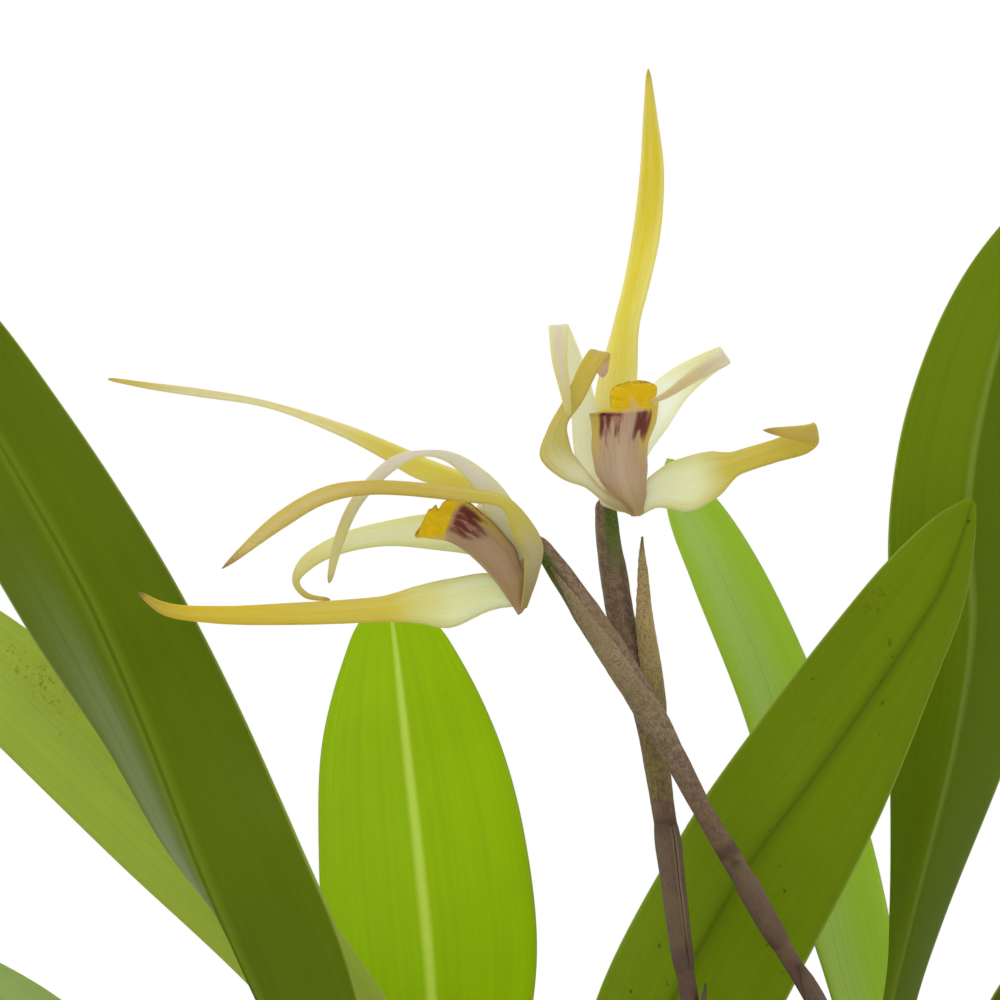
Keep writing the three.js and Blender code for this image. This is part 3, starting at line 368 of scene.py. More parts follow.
green_bulb = bulb_look("pseudobulb_green", (140, 158, 70), (98, 122, 42), (120, 105, 60))
old_bulb = bulb_look("pseudobulb_old", (158, 148, 78), (118, 112, 52), (85, 62, 38))
rise = np.linspace(0, 1, BULB_RINGS)[:, None]
swell = np.clip(np.sin(math.pi * rise ** 0.8), 0, 1) ** 0.75
bulb_turn = np.linspace(0, 2 * math.pi, BULB_SIDES, endpoint=False)[None, :]
for name, (foot, apex, size) in BULBS.items():
    crease = 0.035 if name == "old" else 0.008
    wrinkle = crease * np.cos(15 * bulb_turn + 2 * np.sin(9 * rise))
    ridge = 1 + swell * (0.055 * np.cos(4 * bulb_turn) + wrinkle)
    ends = BULB_ENDS[0] + (BULB_ENDS[1] - BULB_ENDS[0]) * rise
    flesh_points = np.stack([
        foot[0] + (apex[0] - foot[0]) * rise + (ends + (size[0] - ends) * swell) * ridge * np.cos(bulb_turn),
        foot[1] + (apex[1] - foot[1]) * rise + (ends + (size[1] - ends) * swell) * ridge * np.sin(bulb_turn),
        BULB_LOW + (apex[2] - BULB_LOW) * rise + 0 * bulb_turn], -1)
    poles = [(*foot, BULB_LOW), apex]
    bulb_uv = np.stack([bulb_turn / (2 * math.pi) + 0 * rise, rise + 0 * bulb_turn], -1).reshape(-1, 2)
    add_piece(
        f"bulb_{name}_ridged", np.vstack([flesh_points.reshape(-1, 3), poles]),
        tube_faces(BULB_RINGS, BULB_SIDES),
        old_bulb if name == "old" else green_bulb, f"bulb_{name}",
        uv=np.vstack([bulb_uv, [(0.5, 0), (0.5, 1)]]))


# Rhizome and roots: three woody creeping leads, ringed with old scale scars, with a pad under each
# bulb. Seven white-coated roots run down into the bark and more creep over its top.
def path(rows, t, first=0):
    """Points at t of the curve through three columns of the rows."""
    knots = np.array([row[first:first + 3] for row in rows], float)
    knots = np.vstack([2 * knots[0] - knots[1], knots, 2 * knots[-1] - knots[-2]])
    place = np.clip(t, 0, 1) * (len(rows) - 1)
    i = np.minimum(place.astype(int), len(rows) - 2)
    w = (place - i)[:, None]
    a, b, c, d = (knots[i + k] for k in range(4))
    spans = np.sqrt(np.linalg.norm(np.diff(knots, axis=0), axis=1))[:, None]
    before, here, after = (spans[i + k] for k in range(3))
    here = np.where(here < 1e-4, 1.0, here)
    before = np.where(before < 1e-4, here, before)
    after = np.where(after < 1e-4, here, after)
    leave = ((b - a) / before - (c - a) / (before + here) + (c - b) / here) * here
    arrive = ((c - b) / here - (d - b) / (here + after) + (d - c) / after) * here
    square, cube = 3 * (c - b) - 2 * leave - arrive, 2 * (b - c) + leave + arrive
    return b + leave * w + square * w ** 2 + cube * w ** 3


def unit(vectors):
    return vectors / np.maximum(np.linalg.norm(vectors, axis=-1, keepdims=True), 1e-9)


def heading(rows, t):
    return unit(path(rows, np.minimum(t + 1e-4, 1)) - path(rows, np.maximum(t - 1e-4, 0)))


def eased(values, t):
    """Numbers that change smoothly from row to row, read at t."""
    values = np.array(values, float)
    place = np.clip(t, 0, 1) * (len(values) - 1)
    i = np.minimum(place.astype(int), len(values) - 2)
    w = place - i
    return values[i] + (values[i + 1] - values[i]) * w * w * (3 - 2 * w)


def tube(rows, sides, steps, grain=None):
    """Points, faces and uv of a round stem. A row is a point of its axis and its radius there."""
    t = np.linspace(0, 1, steps)
    axis, along = path(rows, t), heading(rows, t)
    across = unit(np.cross(along, unit(np.array((0.31, 0.9, 0.3)))))
    up = np.cross(along, across)
    turn = np.linspace(0, 2 * math.pi, sides, endpoint=False)
    radius = np.repeat(eased([row[3] for row in rows], t)[:, None], sides, 1)
    if grain is not None:
        radius = radius * grain(t[:, None], turn[None, :])
    wall = axis[:, None] + radius[..., None] * (
        across[:, None] * np.cos(turn)[None, :, None] + up[:, None] * np.sin(turn)[None, :, None])
    around, ahead = np.meshgrid(turn / (2 * math.pi), t)
    uv = np.stack([around, ahead], -1).reshape(-1, 2)
    return (np.vstack([wall.reshape(-1, 3), axis[:1], axis[-1:]]), tube_faces(steps, sides),
            np.vstack([uv, [(0.5, 0), (0.5, 1)]]))


def gather(shells):
    """Several closed shells as one set of points, faces and uv."""
    points, faces, uv, count = [], [], [], 0
    for shell_points, shell_faces, shell_uv in shells:
        points.append(shell_points)
        uv.append(shell_uv)
        faces += [[corner + count for corner in face] for face in shell_faces]
        count += len(shell_points)
    return np.vstack(points), faces, np.vstack(uv)


LEADS = [
    ("left_low", "left_front", "old", "near_left", "near_right"),
    ("middle_back", "left_back", "right_front", "old"),
    ("far_right", "right_back", "right_low", "right_tall", "right_front"),
]
ROOTS = [
    [(-36, -7), (-44, -14), (-34, -20)], [(-43, 12), (-40, 24), (-28, 26)], [(13, 36), (6, 42), (-4, 34)],
    [(39, 20), (40, 28), (28, 26)], [(42, -1), (44, -12), (30, -18)], [(22, -31), (14, -40), (8, -30)],
    [(-17, 8), (-6, 12), (2, 6)],
]
CREEPERS = [
    [(-36, -7), (-30, -14), (-34, -30)], [(-31, 28), (-24, 36), (-10, 44)], [(42, -1), (36, -18), (34, -32)],
    [(-8, -29), (2, -20), (0, -2)], [(39, 20), (28, 30), (26, 42)], [(20, 5), (12, -14), (20, -20)],
    [(-43, 12), (-48, -2), (-46, -18)], [(-12, 27), (0, 22), (8, 24)],
]
LEAD_HEIGHT = 86.5
lead_rows = [[(*BULBS[name][0], LEAD_HEIGHT, 3.2) for name in lead] for lead in LEADS]
shells = [tube(rows, 18, 90, lambda t, turn: 1 + 0.07 * ((t * 26) % 1.0) + 0 * turn) for rows in lead_rows]
for foot, _, _ in BULBS.values():
    rows = [(*foot, 84.5, 3.4), (*foot, 89.0, 3.5), (*foot, 93.0, 3.1)]
    shells.append(tube(rows, 18, 12, lambda t, turn: 1 + 0.03 * np.cos(t * 25) + 0 * turn))
for start, bend, end in ROOTS:
    rows = [(*start, LEAD_HEIGHT, 1.3), (*bend, 72, 1.3), (*end, 46, 1.04)]
    rows.append((end[0] * 0.8, end[1] * 0.8, 26, 0.78))
    shells.append(tube(rows, 10, 40))
for start, bend, end in CREEPERS:
    middle = ((bend[0] + end[0]) / 2, (bend[1] + end[1]) / 2)
    rows = [(*start, 86.8, 1.2), (*bend, 87.6, 1.1), (*middle, 87.8, 1.0), (*end, 86.6, 0.9)]
    rows.append((end[0] * 0.97, end[1] * 0.97, 80.0, 0.6))
    shells.append(tube(rows, 10, 48, lambda t, turn: 1 + 0.08 * np.sin(t * 37) + 0 * turn))
root_look = Look("root", Specular_IOR_Level=0.3)
spot = root_look.where()
patches = root_look.noise(spot, 160.0, 4.0)
stain = root_look.noise(spot, 60.0, 4.0)
velamen = root_look.mix(patches.step(0.35, 0.7), tint(150, 138, 104), tint(206, 200, 176))
velamen = root_look.mix(stain.step(0.50, 0.66) * 0.7, velamen, tint(104, 82, 52))
root_look.paint(Base_Color=velamen, Roughness=0.7 + patches * 0.2)
root_look.bump(patches + root_look.noise(spot, 1400.0) * 0.4, 0.0004, 0.8)
points, faces, uv = gather(shells)
add_piece("rhizome_ringed", points, faces, root_look, "rhizome_roots", uv=uv)


# Potting bark: graded fir bark that fills the pot. The bed is one lump below; on top lie loose chips,
# red-brown and split along their grain, lower and smaller where the rhizome creeps over them.
BARK_TOP = 82.8
BED_SIDES = 96
BED_TOP_FROM = 6
CHIPS = 330
STEM_HOLES = [(38.5, -14), (8, -10.5)]
rng = np.random.default_rng(9)
bed_profile = np.array([
    (0.5, 5.3), (40, 5.3), (pot_inner(9) - 0.4, 9), (pot_inner(45) - 0.4, 45),
    (pot_inner(BARK_TOP) - 0.4, 81.4), (pot_inner(BARK_TOP) - 1.6, BARK_TOP - 0.6), (46, BARK_TOP - 1.2),
    (36, BARK_TOP - 0.8), (26, BARK_TOP - 1.4), (16, BARK_TOP - 0.8), (7, BARK_TOP - 1.2),
    (0.5, BARK_TOP - 1),
])
bed_points = turned(bed_profile, BED_SIDES)
bed_points[BED_TOP_FROM:, :, 2] += rng.uniform(-0.8, 0.6, bed_points[BED_TOP_FROM:, :, 2].shape)
bed_points = np.vstack([bed_points.reshape(-1, 3), [(0, 0, 5.3), (0, 0, BARK_TOP - 1)]])
bed = (bed_points, tube_faces(len(bed_profile), BED_SIDES), np.full((len(bed_points), 2), 0.4))

# A chip is a block of 3 x 3 x 3 points without its middle one, with its corners worn off.
thirds = [(x, y, z) for x in (-1, 0, 1) for y in (-1, 0, 1) for z in (-1, 0, 1)]
block = np.array([point for point in thirds if any(point)], float)
block_index = {tuple(int(c) for c in point): k for k, point in enumerate(block)}
block_faces = []
for axis_number in range(3):
    first_axis, second_axis = [k for k in range(3) if k != axis_number]
    for sign in (-1, 1):
        for p in (-1, 0):
            for q in (-1, 0):
                face = []
                for dp, dq in ((0, 0), (1, 0), (1, 1), (0, 1)):
                    corner = [0, 0, 0]
                    corner[axis_number] = sign
                    corner[first_axis] = p + dp
                    corner[second_axis] = q + dq
                    face.append(block_index[tuple(corner)])
                outward = (sign > 0) == (axis_number != 1)
                block_faces.append(face if outward else face[::-1])
worn = block * (1 - 0.055 * (np.abs(block).sum(1, keepdims=True) - 1))
order = np.arange(CHIPS)
ring = 50.5 * np.sqrt((order + 0.5) / CHIPS)
spread = 2.39996 * order + rng.uniform(-0.05, 0.05, CHIPS)
spots = np.stack([ring * np.cos(spread), ring * np.sin(spread)], 1)
taken = np.vstack([path(rows, np.linspace(0, 1, 60))[:, :2] for rows in lead_rows])
room = np.linalg.norm(spots[:, None] - taken[None], axis=2).min(1)
holes = np.linalg.norm(spots[:, None] - np.array(STEM_HOLES)[None], axis=2).min(1)
near = np.clip((room - 4) / 6, 0, 1)
half = np.stack([rng.uniform(4, 7.5, CHIPS), rng.uniform(2.8, 4.8, CHIPS), rng.uniform(1.2, 2.4, CHIPS)], 1)
half *= (0.6 + 0.4 * near)[:, None]
height = BARK_TOP - 2.4 + near * rng.uniform(0.5, 4.6, CHIPS)
half[:, :2] *= np.clip((holes - 1.5) / 5, 0.3, 1)[:, None]
chips = worn[None] * half[:, None] * (1 + rng.uniform(-0.16, 0.16, (CHIPS, 26, 3)))
for axis_number, turn in ((0, rng.uniform(-0.4, 0.4, CHIPS)), (1, rng.uniform(-0.35, 0.35, CHIPS)),
                          (2, rng.uniform(0, 2 * math.pi, CHIPS))):
    p, q = [k for k in range(3) if k != axis_number]
    cos, sin = np.cos(turn)[:, None], np.sin(turn)[:, None]
    one, two = chips[..., p] * cos - chips[..., q] * sin, chips[..., p] * sin + chips[..., q] * cos
    chips[..., p], chips[..., q] = one, two
chips += np.stack([spots[:, 0], spots[:, 1], height], 1)[:, None]
reach = np.linalg.norm(chips[..., :2], axis=2, keepdims=True)
chips[..., :2] *= np.minimum(1, 52.6 / np.maximum(reach, 1e-6))
chip_faces = (np.array(block_faces)[None] + 26 * np.arange(CHIPS)[:, None, None]).reshape(-1, 4).tolist()
tones = np.repeat(np.stack([rng.uniform(0, 1, CHIPS), rng.uniform(0, 1, CHIPS)], 1), 26, 0)
points, faces, uv = gather([bed, (chips.reshape(-1, 3), chip_faces, tones)])
bark_look = Look("bark_chips", Specular_IOR_Level=0.2)
tone, banding = bark_look.uv()
spot = bark_look.where()
grain = bark_look.noise(spot, 420.0, 5.0, 0.65)
layer = bark_look.noise(spot, 110.0, 3.0)
color = bark_look.mix(tone, tint(84, 54, 36), tint(138, 92, 62))
color = bark_look.mix(grain.step(0.38, 0.62) * 0.6, color, tint(56, 34, 22))
color = bark_look.mix(layer.step(0.55, 0.68) * banding * 0.5, color, tint(160, 124, 90))
bark_look.paint(Base_Color=color, Roughness=0.86 + grain * 0.12)
bark_look.bump(grain + layer * 0.6, 0.001, 0.8)
bark = add_piece("bark_heap", points, faces, bark_look, "bark", uv=uv)
bark.data.shade_flat()


# Dry sheaths: papery scales round the lower part of the younger bulbs, once green and now straw-brown,
# split into fibres at their ragged ends. Each is open on the side away from where it faces.
def sheet(name, grid, thickness, look, node):
    """A closed sheet over a grid of middle points, rows from base to tip, thinner at its edges."""
    rows, strips = grid.shape[:2]
    across, along = np.gradient(grid, axis=1), np.gradient(grid, axis=0)
    u, v = np.linspace(0, 1, strips), np.linspace(0, 1, rows)
    edge = 0.3 + 0.7 * (1 - np.abs(2 * u - 1) ** 6)
    half = unit(np.cross(across, along)) * (thickness / 2 * edge)[None, :, None]
    count = rows * strips
    cell = (np.arange(rows - 1)[:, None] * strips + np.arange(strips - 1)[None, :]).ravel()
    top = np.stack([cell, cell + 1, cell + strips + 1, cell + strips], 1)
    number = np.arange(count).reshape(rows, strips)
    rim = np.concatenate([number[0, ::-1], number[1:, 0], number[-1, 1:], number[-2:0:-1, -1]])
    onward = np.roll(rim, -1)
    sides = np.stack([rim, onward, onward + count, rim + count], 1)
    points = np.vstack([(grid + half).reshape(-1, 3), (grid - half).reshape(-1, 3)])
    uv = np.stack(np.meshgrid(u, v), -1).reshape(-1, 2)
    face = np.repeat([1.0, 0.0], count)
    return add_piece(name, points, np.vstack([top, top[:, ::-1] + count, sides]), look, node,
                     uv=np.vstack([uv, uv]), side=face)


def rolled(back, out, along, radius, wrap, strips, ruffle=0.0):
    """The middle surface of a blade that is rolled to a radius, through an angle either way in degrees."""
    u = np.linspace(-1, 1, strips)[None, :]
    across = unit(np.cross(along, out))
    angle = np.radians(wrap)[:, None] * u
    outward = -radius[:, None] * (1 - np.cos(angle)) + ruffle
    return (back[:, None] + across[:, None] * (radius[:, None] * np.sin(angle))[..., None]
            + out[:, None] * outward[..., None])


SHEATH_THICK = 0.5
SHEATH_FOOT = 93.9
SHEATHED = {
    "left_front": -100, "left_back": 10, "middle_back": 130, "right_front": -60,
    "right_tall": -30, "right_back": 30, "near_left": -90, "right_low": -20,
}
SHEATH_ROWS = [(0.02, 0.72, 150), (0.2, 1.03, 140), (0.45, 1.2, 110), (0.66, 1.17, 62), (0.8, 1.12, 6)]
sheath_look = Look("dry_sheath", Specular_IOR_Level=0.25)
around, upward = sheath_look.uv()
fibre = sheath_look.noise(sheath_look.joined(around * 70.0, upward * 2.0), 1.0, 4.0, 0.6)
patches = sheath_look.noise(sheath_look.where(), 140.0, 4.0)
paper = sheath_look.mix(fibre.step(0.3, 0.7), tint(112, 88, 56), tint(196, 174, 128))
paper = sheath_look.mix(patches.step(0.5, 0.7) * 0.6, paper, tint(92, 68, 44))
sheath_look.paint(Base_Color=paper, Roughness=0.78 + fibre * 0.15)
sheath_look.bump(fibre, 0.0005, 0.9)
sheath_look.glow_through(tint(214, 190, 140), 0.25)
t = np.linspace(0, 1, 46)
for name, turn in SHEATHED.items():
    foot, apex, size = BULBS[name]
    facing = np.array((math.cos(math.radians(turn)), math.sin(math.radians(turn)), 0.0))
    rows = []
    for place, spread, wrap in SHEATH_ROWS:
        radius = max(size) * spread + 0.9
        centre = [foot[k] + (apex[k] - foot[k]) * place + radius * facing[k] for k in range(2)]
        rows.append((*centre, SHEATH_FOOT + (apex[2] - SHEATH_FOOT) * place, radius, wrap))
    wrap = eased([row[4] for row in rows], t)
    wrap *= 1 + 0.05 * np.sin(t * 90 + turn) + 0.04 * np.sin(t * 211 + 2 * turn)
    grid = rolled(path(rows, t), np.repeat(facing[None], len(t), 0), heading(rows, t),
                  eased([row[3] for row in rows], t), np.maximum(wrap, 3), 40)
    sheet(f"sheath_{name}_papery", grid, SHEATH_THICK, sheath_look, f"sheath_{name}")


# Leaves: one leathery strap on each bulb, folded along a sunk midrib that is ridged beneath, satin above,
# with close parallel veins and old marks, a thin pale rim that is a painted highlight where the margin
# catches the light, painted shade in the midrib's fold and, on three, a painted sheen. Light comes through
# them, yellow-green.
# A row is a point of the midrib and then its two half widths, as vectors to the left and right edge.
LEAF_THICK = 0.9
FOLD = 1.25
LEAVES = {
    "left_front": [
        (-40, -6, 126.6, 2, 3.2, 1, 2.6, -2.6, 1.2), (-47, -5, 143, 5.5, 5, 2.5, 5.8, -4.2, 2.6),
        (-63.4, -3, 176.2, 10.5, 6, 5.5, 13.5, -6, 6.8), (-71.3, -2, 193.6, -2.4, 15.6, -1.1, 14.2, -4, 6.6),
        (-81.2, 0, 218.2, -7.1, 13.6, -3.1, 12.8, 4, 5.7), (-89.7, 1, 237.1, -9.8, 9, -4.8, 11.2, 5, 5.6),
        (-102.9, 3, 260.2, -9, 6.5, -5.2, 9.4, 5, 5.5), (-115, 4, 280.5, -5.6, 3.6, -3.4, 6.8, 3, 4.2),
        (-127, 5, 299, -0.5, 0.2, -0.3, 0.5, 0.2, 0.3),
    ],
    "left_back": [
        (-15, 26, 124.6, -1.2, -2.6, -1.4, 1.4, 2.6, 1.4), (-26, 27, 141.5, -3, -3.4, -2.6, 3.2, 2.8, 2.8),
        (-42, 28.6, 158.5, -4.6, -1, -5, 4.6, 2.6, 4.2), (-59.4, 32, 180.4, -5.7, 1, -6.1, 5.6, 2.6, 5.6),
        (-82, 35, 201.6, -5.8, 2, -6.3, 5.6, 2.4, 5.8), (-106, 38, 224.2, -5.6, 1.6, -6, 5.7, 1.6, 6.2),
        (-126.4, 40, 239.4, -3.6, 1, -3.8, 3.6, 1, 3.8), (-143, 42, 248, -0.3, 0, -0.5, 0.3, 0, 0.5),
    ],
    "left_low": [
        (-47, 13, 118.6, -1, -2.6, -1.8, 1.2, 2.4, 1.8), (-58, 13.6, 131, -2.6, -4, -3.6, 3, 3.6, 3.6),
        (-81, 14.5, 149, -6, -2, -7.6, 6.4, 2, 7.6), (-107, 14.5, 167.4, -7.6, 1, -9.6, 8.4, 2, 10),
        (-131, 13.5, 180, -4, 1, -8.6, 4.6, 1.6, 8.8), (-149, 12.5, 184.6, -1, 0.6, -5, 1.2, 0.8, 5),
        (-163, 11.5, 186.6, 0, 0, -0.6, 0, 0, 0.6),
    ],
    "middle_back": [
        (-34, 30, 124.6, -2.4, 1.8, 0, 2.4, 1.6, 0), (-35.6, 36, 141, -4.2, 2.6, 0, 4.4, 2.4, 0),
        (-37.2, 44, 161, -13.2, 2, 0.6, 13.2, 2, 0), (-38.4, 51, 178, -16.5, 1.4, 0.4, 17.3, 1.4, 0),
        (-40.4, 61, 196, -16, 1.2, 0.4, 17.7, 1.2, 0), (-42.4, 71, 212, -13.7, 1, 0.3, 15.5, 1, 0),
        (-44, 78.5, 225.4, -8.9, 0.6, 0, 10.7, 0.6, 0), (-44.9, 82, 232, -5.2, 0.3, 0, 6.8, 0.3, 0),
        (-45.4, 83.5, 235, -1, 0, 0, 1, 0, 0),
    ],
    "right_back": [
        (40, 21, 123.6, -1.8, -2, -0.3, 1.8, 2, 0.4), (37, 26, 144, -3.6, -3.8, -0.8, 4, 3.6, 1),
        (26.6, 33, 176.4, -2.2, -7.4, -0.8, 9.4, 7, 2.4), (22, 38, 198, -4.4, -8.6, -1.4, 9.2, 6.4, 2.9),
        (15.6, 42, 221, -4.5, -7, -1.8, 7.5, 6, 2.8), (7.8, 45, 240.4, -4.2, -5, -1.8, 6.2, 4.8, 2.4),
        (2.6, 47, 250.8, -2.8, -3, -1.2, 4.6, 3, 1.9), (-0.2, 48.5, 258.6, -0.6, 0, -0.3, 0.6, 0, 0.3),
    ],
    "right_front": [
        (-14, 8, 125.6, -1.8, 2.6, 0.8, 2.6, 1.6, -0.8), (-10.5, 7.6, 144, -3.8, 4.8, 1.6, 5.4, 2.4, -1.8),
        (-4.6, 7, 166, -8.8, 9.8, 4.4, 12.4, 1.4, -6.4), (9.7, 7, 193.9, -8.8, 7, 6.4, 12.1, 1.6, -8.9),
        (22, 8, 210.7, -9.5, 4, 6.8, 9.4, 2, -6.9), (34.3, 9, 228.3, -9, 2.6, 5.8, 5.6, 2, -3.7),
        (40.6, 9.3, 238.4, -7.6, 1.6, 4.8, 3.6, 1.4, -2.4), (44, 9.5, 247, -4, 0.8, 2.6, 1.8, 0.6, -1.2),
        (45.4, 9.5, 252, -0.7, 0, 0.4, 0.6, 0, -0.3),
    ],
    "right_tall": [
        (23.2, 6.2, 128.2, -1.4, 2.4, 0.4, 2.6, 1.8, -0.6), (27.4, 10, 150, -2, 3.4, 0.6, 3.8, 2.6, -1),
        (33.6, 17, 175, -0.9, 4.4, 0, 3.9, 4.4, -1), (37.2, 19.5, 189, -3.4, 5, 0.6, 5.2, 6, -1.6),
        (44, 22, 215.7, -10.2, 3.6, 1, 9.1, 6.6, -2.2), (46.4, 22.5, 233, -12.8, 2.4, 0.2, 12.6, 6, -0.6),
        (45.6, 22, 251.2, -11.9, 2, -0.6, 13, 5, 1.4), (48.6, 21, 270, -11.8, 2, -2.1, 11.4, 4, 2.8),
        (55, 20, 290, -9.6, 1.6, -2.4, 7.8, 2.4, 3.2), (64, 19, 309, -0.5, 0, -0.2, 0.5, 0, 0.3),
    ],
    "right_low": [
        (44.5, -2, 117.6, -1.4, 2.6, 0.4, 2, -2.4, -0.4), (45.6, -3, 134, -3.4, 3.4, 0.8, 4, -3.2, -1),
        (49.4, -4.4, 153, -6.2, 2, 4, 6.8, -1, -4.4), (57.6, -6, 170, -9.6, 1, 8.4, 8.8, 1, -8.2),
        (75, -8, 184, -6.6, 1, 10, 6.8, 1, -10), (96, -10, 193, -3, 1, 9, 3, 1, -9),
        (116, -12, 197, -0.6, 0.4, 4.8, 0.6, 0.4, -4.8), (130, -13, 198, 0, 0, 0.5, 0, 0, -0.5),
    ],
    "near_left": [
        (-8, -32, 118.6, -2.6, 0.4, 1.6, 2.6, 0.2, 1.6), (-9.6, -39, 137, -4.6, 0.6, 2.4, 4.6, 0.2, 2.4),
        (-14, -56, 154, -10, 1, 3.4, 10, -1, 2.4), (-20, -80, 163, -12.4, 2.6, 3, 12.4, -2.8, 1.6),
        (-26.5, -106, 164, -11, 2.6, 2, 11, -2.8, 0.8), (-32, -128, 158, -6, 1.6, 1, 6, -1.6, 0.2),
        (-36, -145, 150, -0.5, 0.1, 0, 0.5, -0.1, 0),
    ],
    "near_right": [
        (23, -34, 117.6, -2.2, -1.4, 1.4, 2.2, 1.2, 1.6), (28, -41, 134, -3.8, -2.2, 2, 3.8, 2, 2.4),
        (41, -56, 150, -7.8, -5.6, 2, 7.6, 5.6, 2.6), (60, -76, 159, -8.8, -8, 1, 8.8, 8, 2.2),
        (80, -96, 160, -6.8, -6.6, 0.4, 6.8, 6.6, 1.2), (98, -113, 154, -0.4, -0.4, 0, 0.4, 0.4, 0),
    ],
    "far_right": [
        (14, 39, 118.6, -2.5, 0.4, 1.6, 2.5, 0, 1.6), (17, 49, 134, -4.4, 1, 2.2, 4.4, -1, 2.2),
        (24, 70, 148, -9.6, 3, 2.6, 9.6, -3, 2.6), (33, 97, 155.5, -11.4, 4, 1.6, 11.4, -4, 1.6),
        (42, 124, 153, -8.4, 2.8, 0.8, 8.4, -2.8, 0.8), (49, 146, 145, -0.5, 0.2, 0, 0.5, -0.2, 0),
    ],
}


def leaf_look(name, body, rib, sheen_tint=None, sheen_at=(0.5, 0.46), sheen_from=(-1.0, -0.5), sheen_below=(2.0, 1.5),
              streaks=0.4, clouds=0.15, specks=0.2, through=0.45, crease=0.6, rib_wide=0.16, rust_at=None):
    """A leaf's skin. sheen_tint is a painted sheen, a reflection of the light painted on the blade from its
    sheen_from edge to its sheen_at edge and below sheen_below, and rust_at is where a cloud of small rusty
    marks lies."""
    look = Look(name, Coat_Weight=0.02, Coat_Roughness=0.3, Specular_IOR_Level=0.12)
    u, v = look.uv()
    spot = look.where()
    off_rib = abs(u - 0.5) * 2.0
    streak = look.noise(look.joined(u * 34.0, v * 2.2), 1.0, 4.0)
    vein = look.noise(look.joined(u * 240.0, v * 5.0), 1.0, 2.0)
    cloud = look.noise(spot, 45.0, 3.0)
    dark = tuple(c * 0.55 for c in tint(*body))
    color = look.mix(streak.step(0.35, 0.68) * streaks, tint(*body), tuple(c * 1.25 for c in tint(*body)))
    color = look.mix(cloud.step(0.42, 0.70) * clouds, color, dark)
    if sheen_tint is not None:
        # A painted sheen: a paler tint where the glossy blade reflects the light, laid in streaks over one
        # band of it.
        share = u.step(*sheen_at) * u.step(*sheen_from) * v.step(*sheen_below)
        color = look.mix(share * (streak.step(0.30, 0.62) * streaks * 1.2 + 0.4), color, tint(*sheen_tint))
    color = look.mix(vein.step(0.5, 0.72) * 0.09, color, dark)
    color = look.mix(off_rib.step(rib_wide, 0.01) * 0.6, color, tint(*rib))
    # A dark line along the midrib's fold: painted shade in the crease, as strong as the crease share.
    color = look.mix(off_rib.step(0.034, 0.012) * v.step(0.98, 0.6) * crease, color, dark)
    # A thin pale rim along the margins: a painted highlight where the edge catches the light.
    color = look.mix(off_rib.step(0.965, 0.995) * 0.6, color, tint(186, 200, 90))
    color = look.mix(v.step(0.14, 0.0) * 0.7, color, tint(168, 172, 96))
    speck = look.noise(spot, 620.0, 1.0).step(0.73, 0.77) * cloud.step(0.40, 0.60)
    color = look.mix(speck * specks, color, tint(92, 52, 22))
    if rust_at is not None:
        near = abs(u - rust_at[0]).step(0.2, 0.05) * abs(v - rust_at[1]).step(0.06, 0.01)
        marks = look.noise(spot, 1500.0, 2.0).step(0.55, 0.66)
        color = look.mix(near * marks * 0.6, color, tint(128, 84, 16))
    look.paint(Base_Color=color, Roughness=0.36 + streak * 0.2)
    look.bump(streak * 0.4 + vein * 0.2 + off_rib.step(0.05, 0.0) * -0.8, 0.0004, 0.5)
    look.glow_through(look.mix(0.3, color, tint(214, 230, 0)), through)
    return look


def closing(t, start, length, least=0.0):
    """1 up to start and then falling as a quarter of an ellipse does, to make a rounded end."""
    return np.sqrt(np.clip(1 - np.clip((t - start) / length, 0, 1) ** 2, least, 1))


# The paler tint given to left_front, right_back and right_tall is a painted sheen, a reflection of the light.
LEAF_LOOKS = {
    "left_front": dict(body=(97, 117, 0), rib=(128, 150, 30), sheen_tint=(128, 144, 86), sheen_at=(0.44, 0.28),
                       sheen_from=(0.03, 0.16), sheen_below=(0.72, 0.5), through=0.35),
    "left_back": dict(body=(176, 192, 84), rib=(178, 196, 96), specks=0.5, through=0.5, crease=0.12,
                      rust_at=(0.71, 0.7)),
    "left_low": dict(body=(164, 186, 116), rib=(176, 196, 130), through=0.45),
    "middle_back": dict(body=(166, 198, 0), rib=(240, 252, 150), clouds=0.1, specks=0.1, through=0.6,
                        crease=0.0, rib_wide=0.075),
    "right_back": dict(body=(174, 206, 68), rib=(188, 214, 116), sheen_tint=(190, 212, 136), sheen_at=(0.82, 0.52),
                       sheen_from=(0.0, 0.3), streaks=0.25, clouds=0.1, specks=0.1, through=0.5, crease=0.15),
    "right_front": dict(body=(122, 146, 0), rib=(98, 120, 0), specks=0.9, through=0.4,
                        rust_at=(0.12, 0.68)),
    "right_tall": dict(body=(96, 119, 0), rib=(150, 172, 70), sheen_tint=(132, 156, 16), streaks=0.12,
                       specks=0.15, through=0.35, crease=0.0, rib_wide=0.07),
    "right_low": dict(body=(72, 96, 10), rib=(110, 136, 50), through=0.3),
    "near_left": dict(body=(96, 122, 8), rib=(128, 150, 46), through=0.35),
    "near_right": dict(body=(104, 130, 10), rib=(136, 158, 50), through=0.35),
    "far_right": dict(body=(112, 140, 12), rib=(146, 168, 56), through=0.4),
}
t = np.linspace(0, 1, 110)
u = np.linspace(-1, 1, 25)
tip = closing(t, 0.985, 0.0152)[:, None, None]
for name, rows in LEAVES.items():
    spine = path(rows, t)[:, None]
    left, right = (path([[row[k] + row[first + k] for k in range(3)] for row in rows], t)[:, None] - spine
                   for first in (3, 6))
    fold = np.abs(u)[None, :, None] ** FOLD * (right + left) / 2
    grid = spine + tip * (u[None, :, None] * (right - left) / 2 + fold)
    look = leaf_look(f"leaf_{name}_skin", **LEAF_LOOKS[name])
    sheet(f"leaf_{name}_veined", grid, LEAF_THICK, look, f"leaf_{name}")


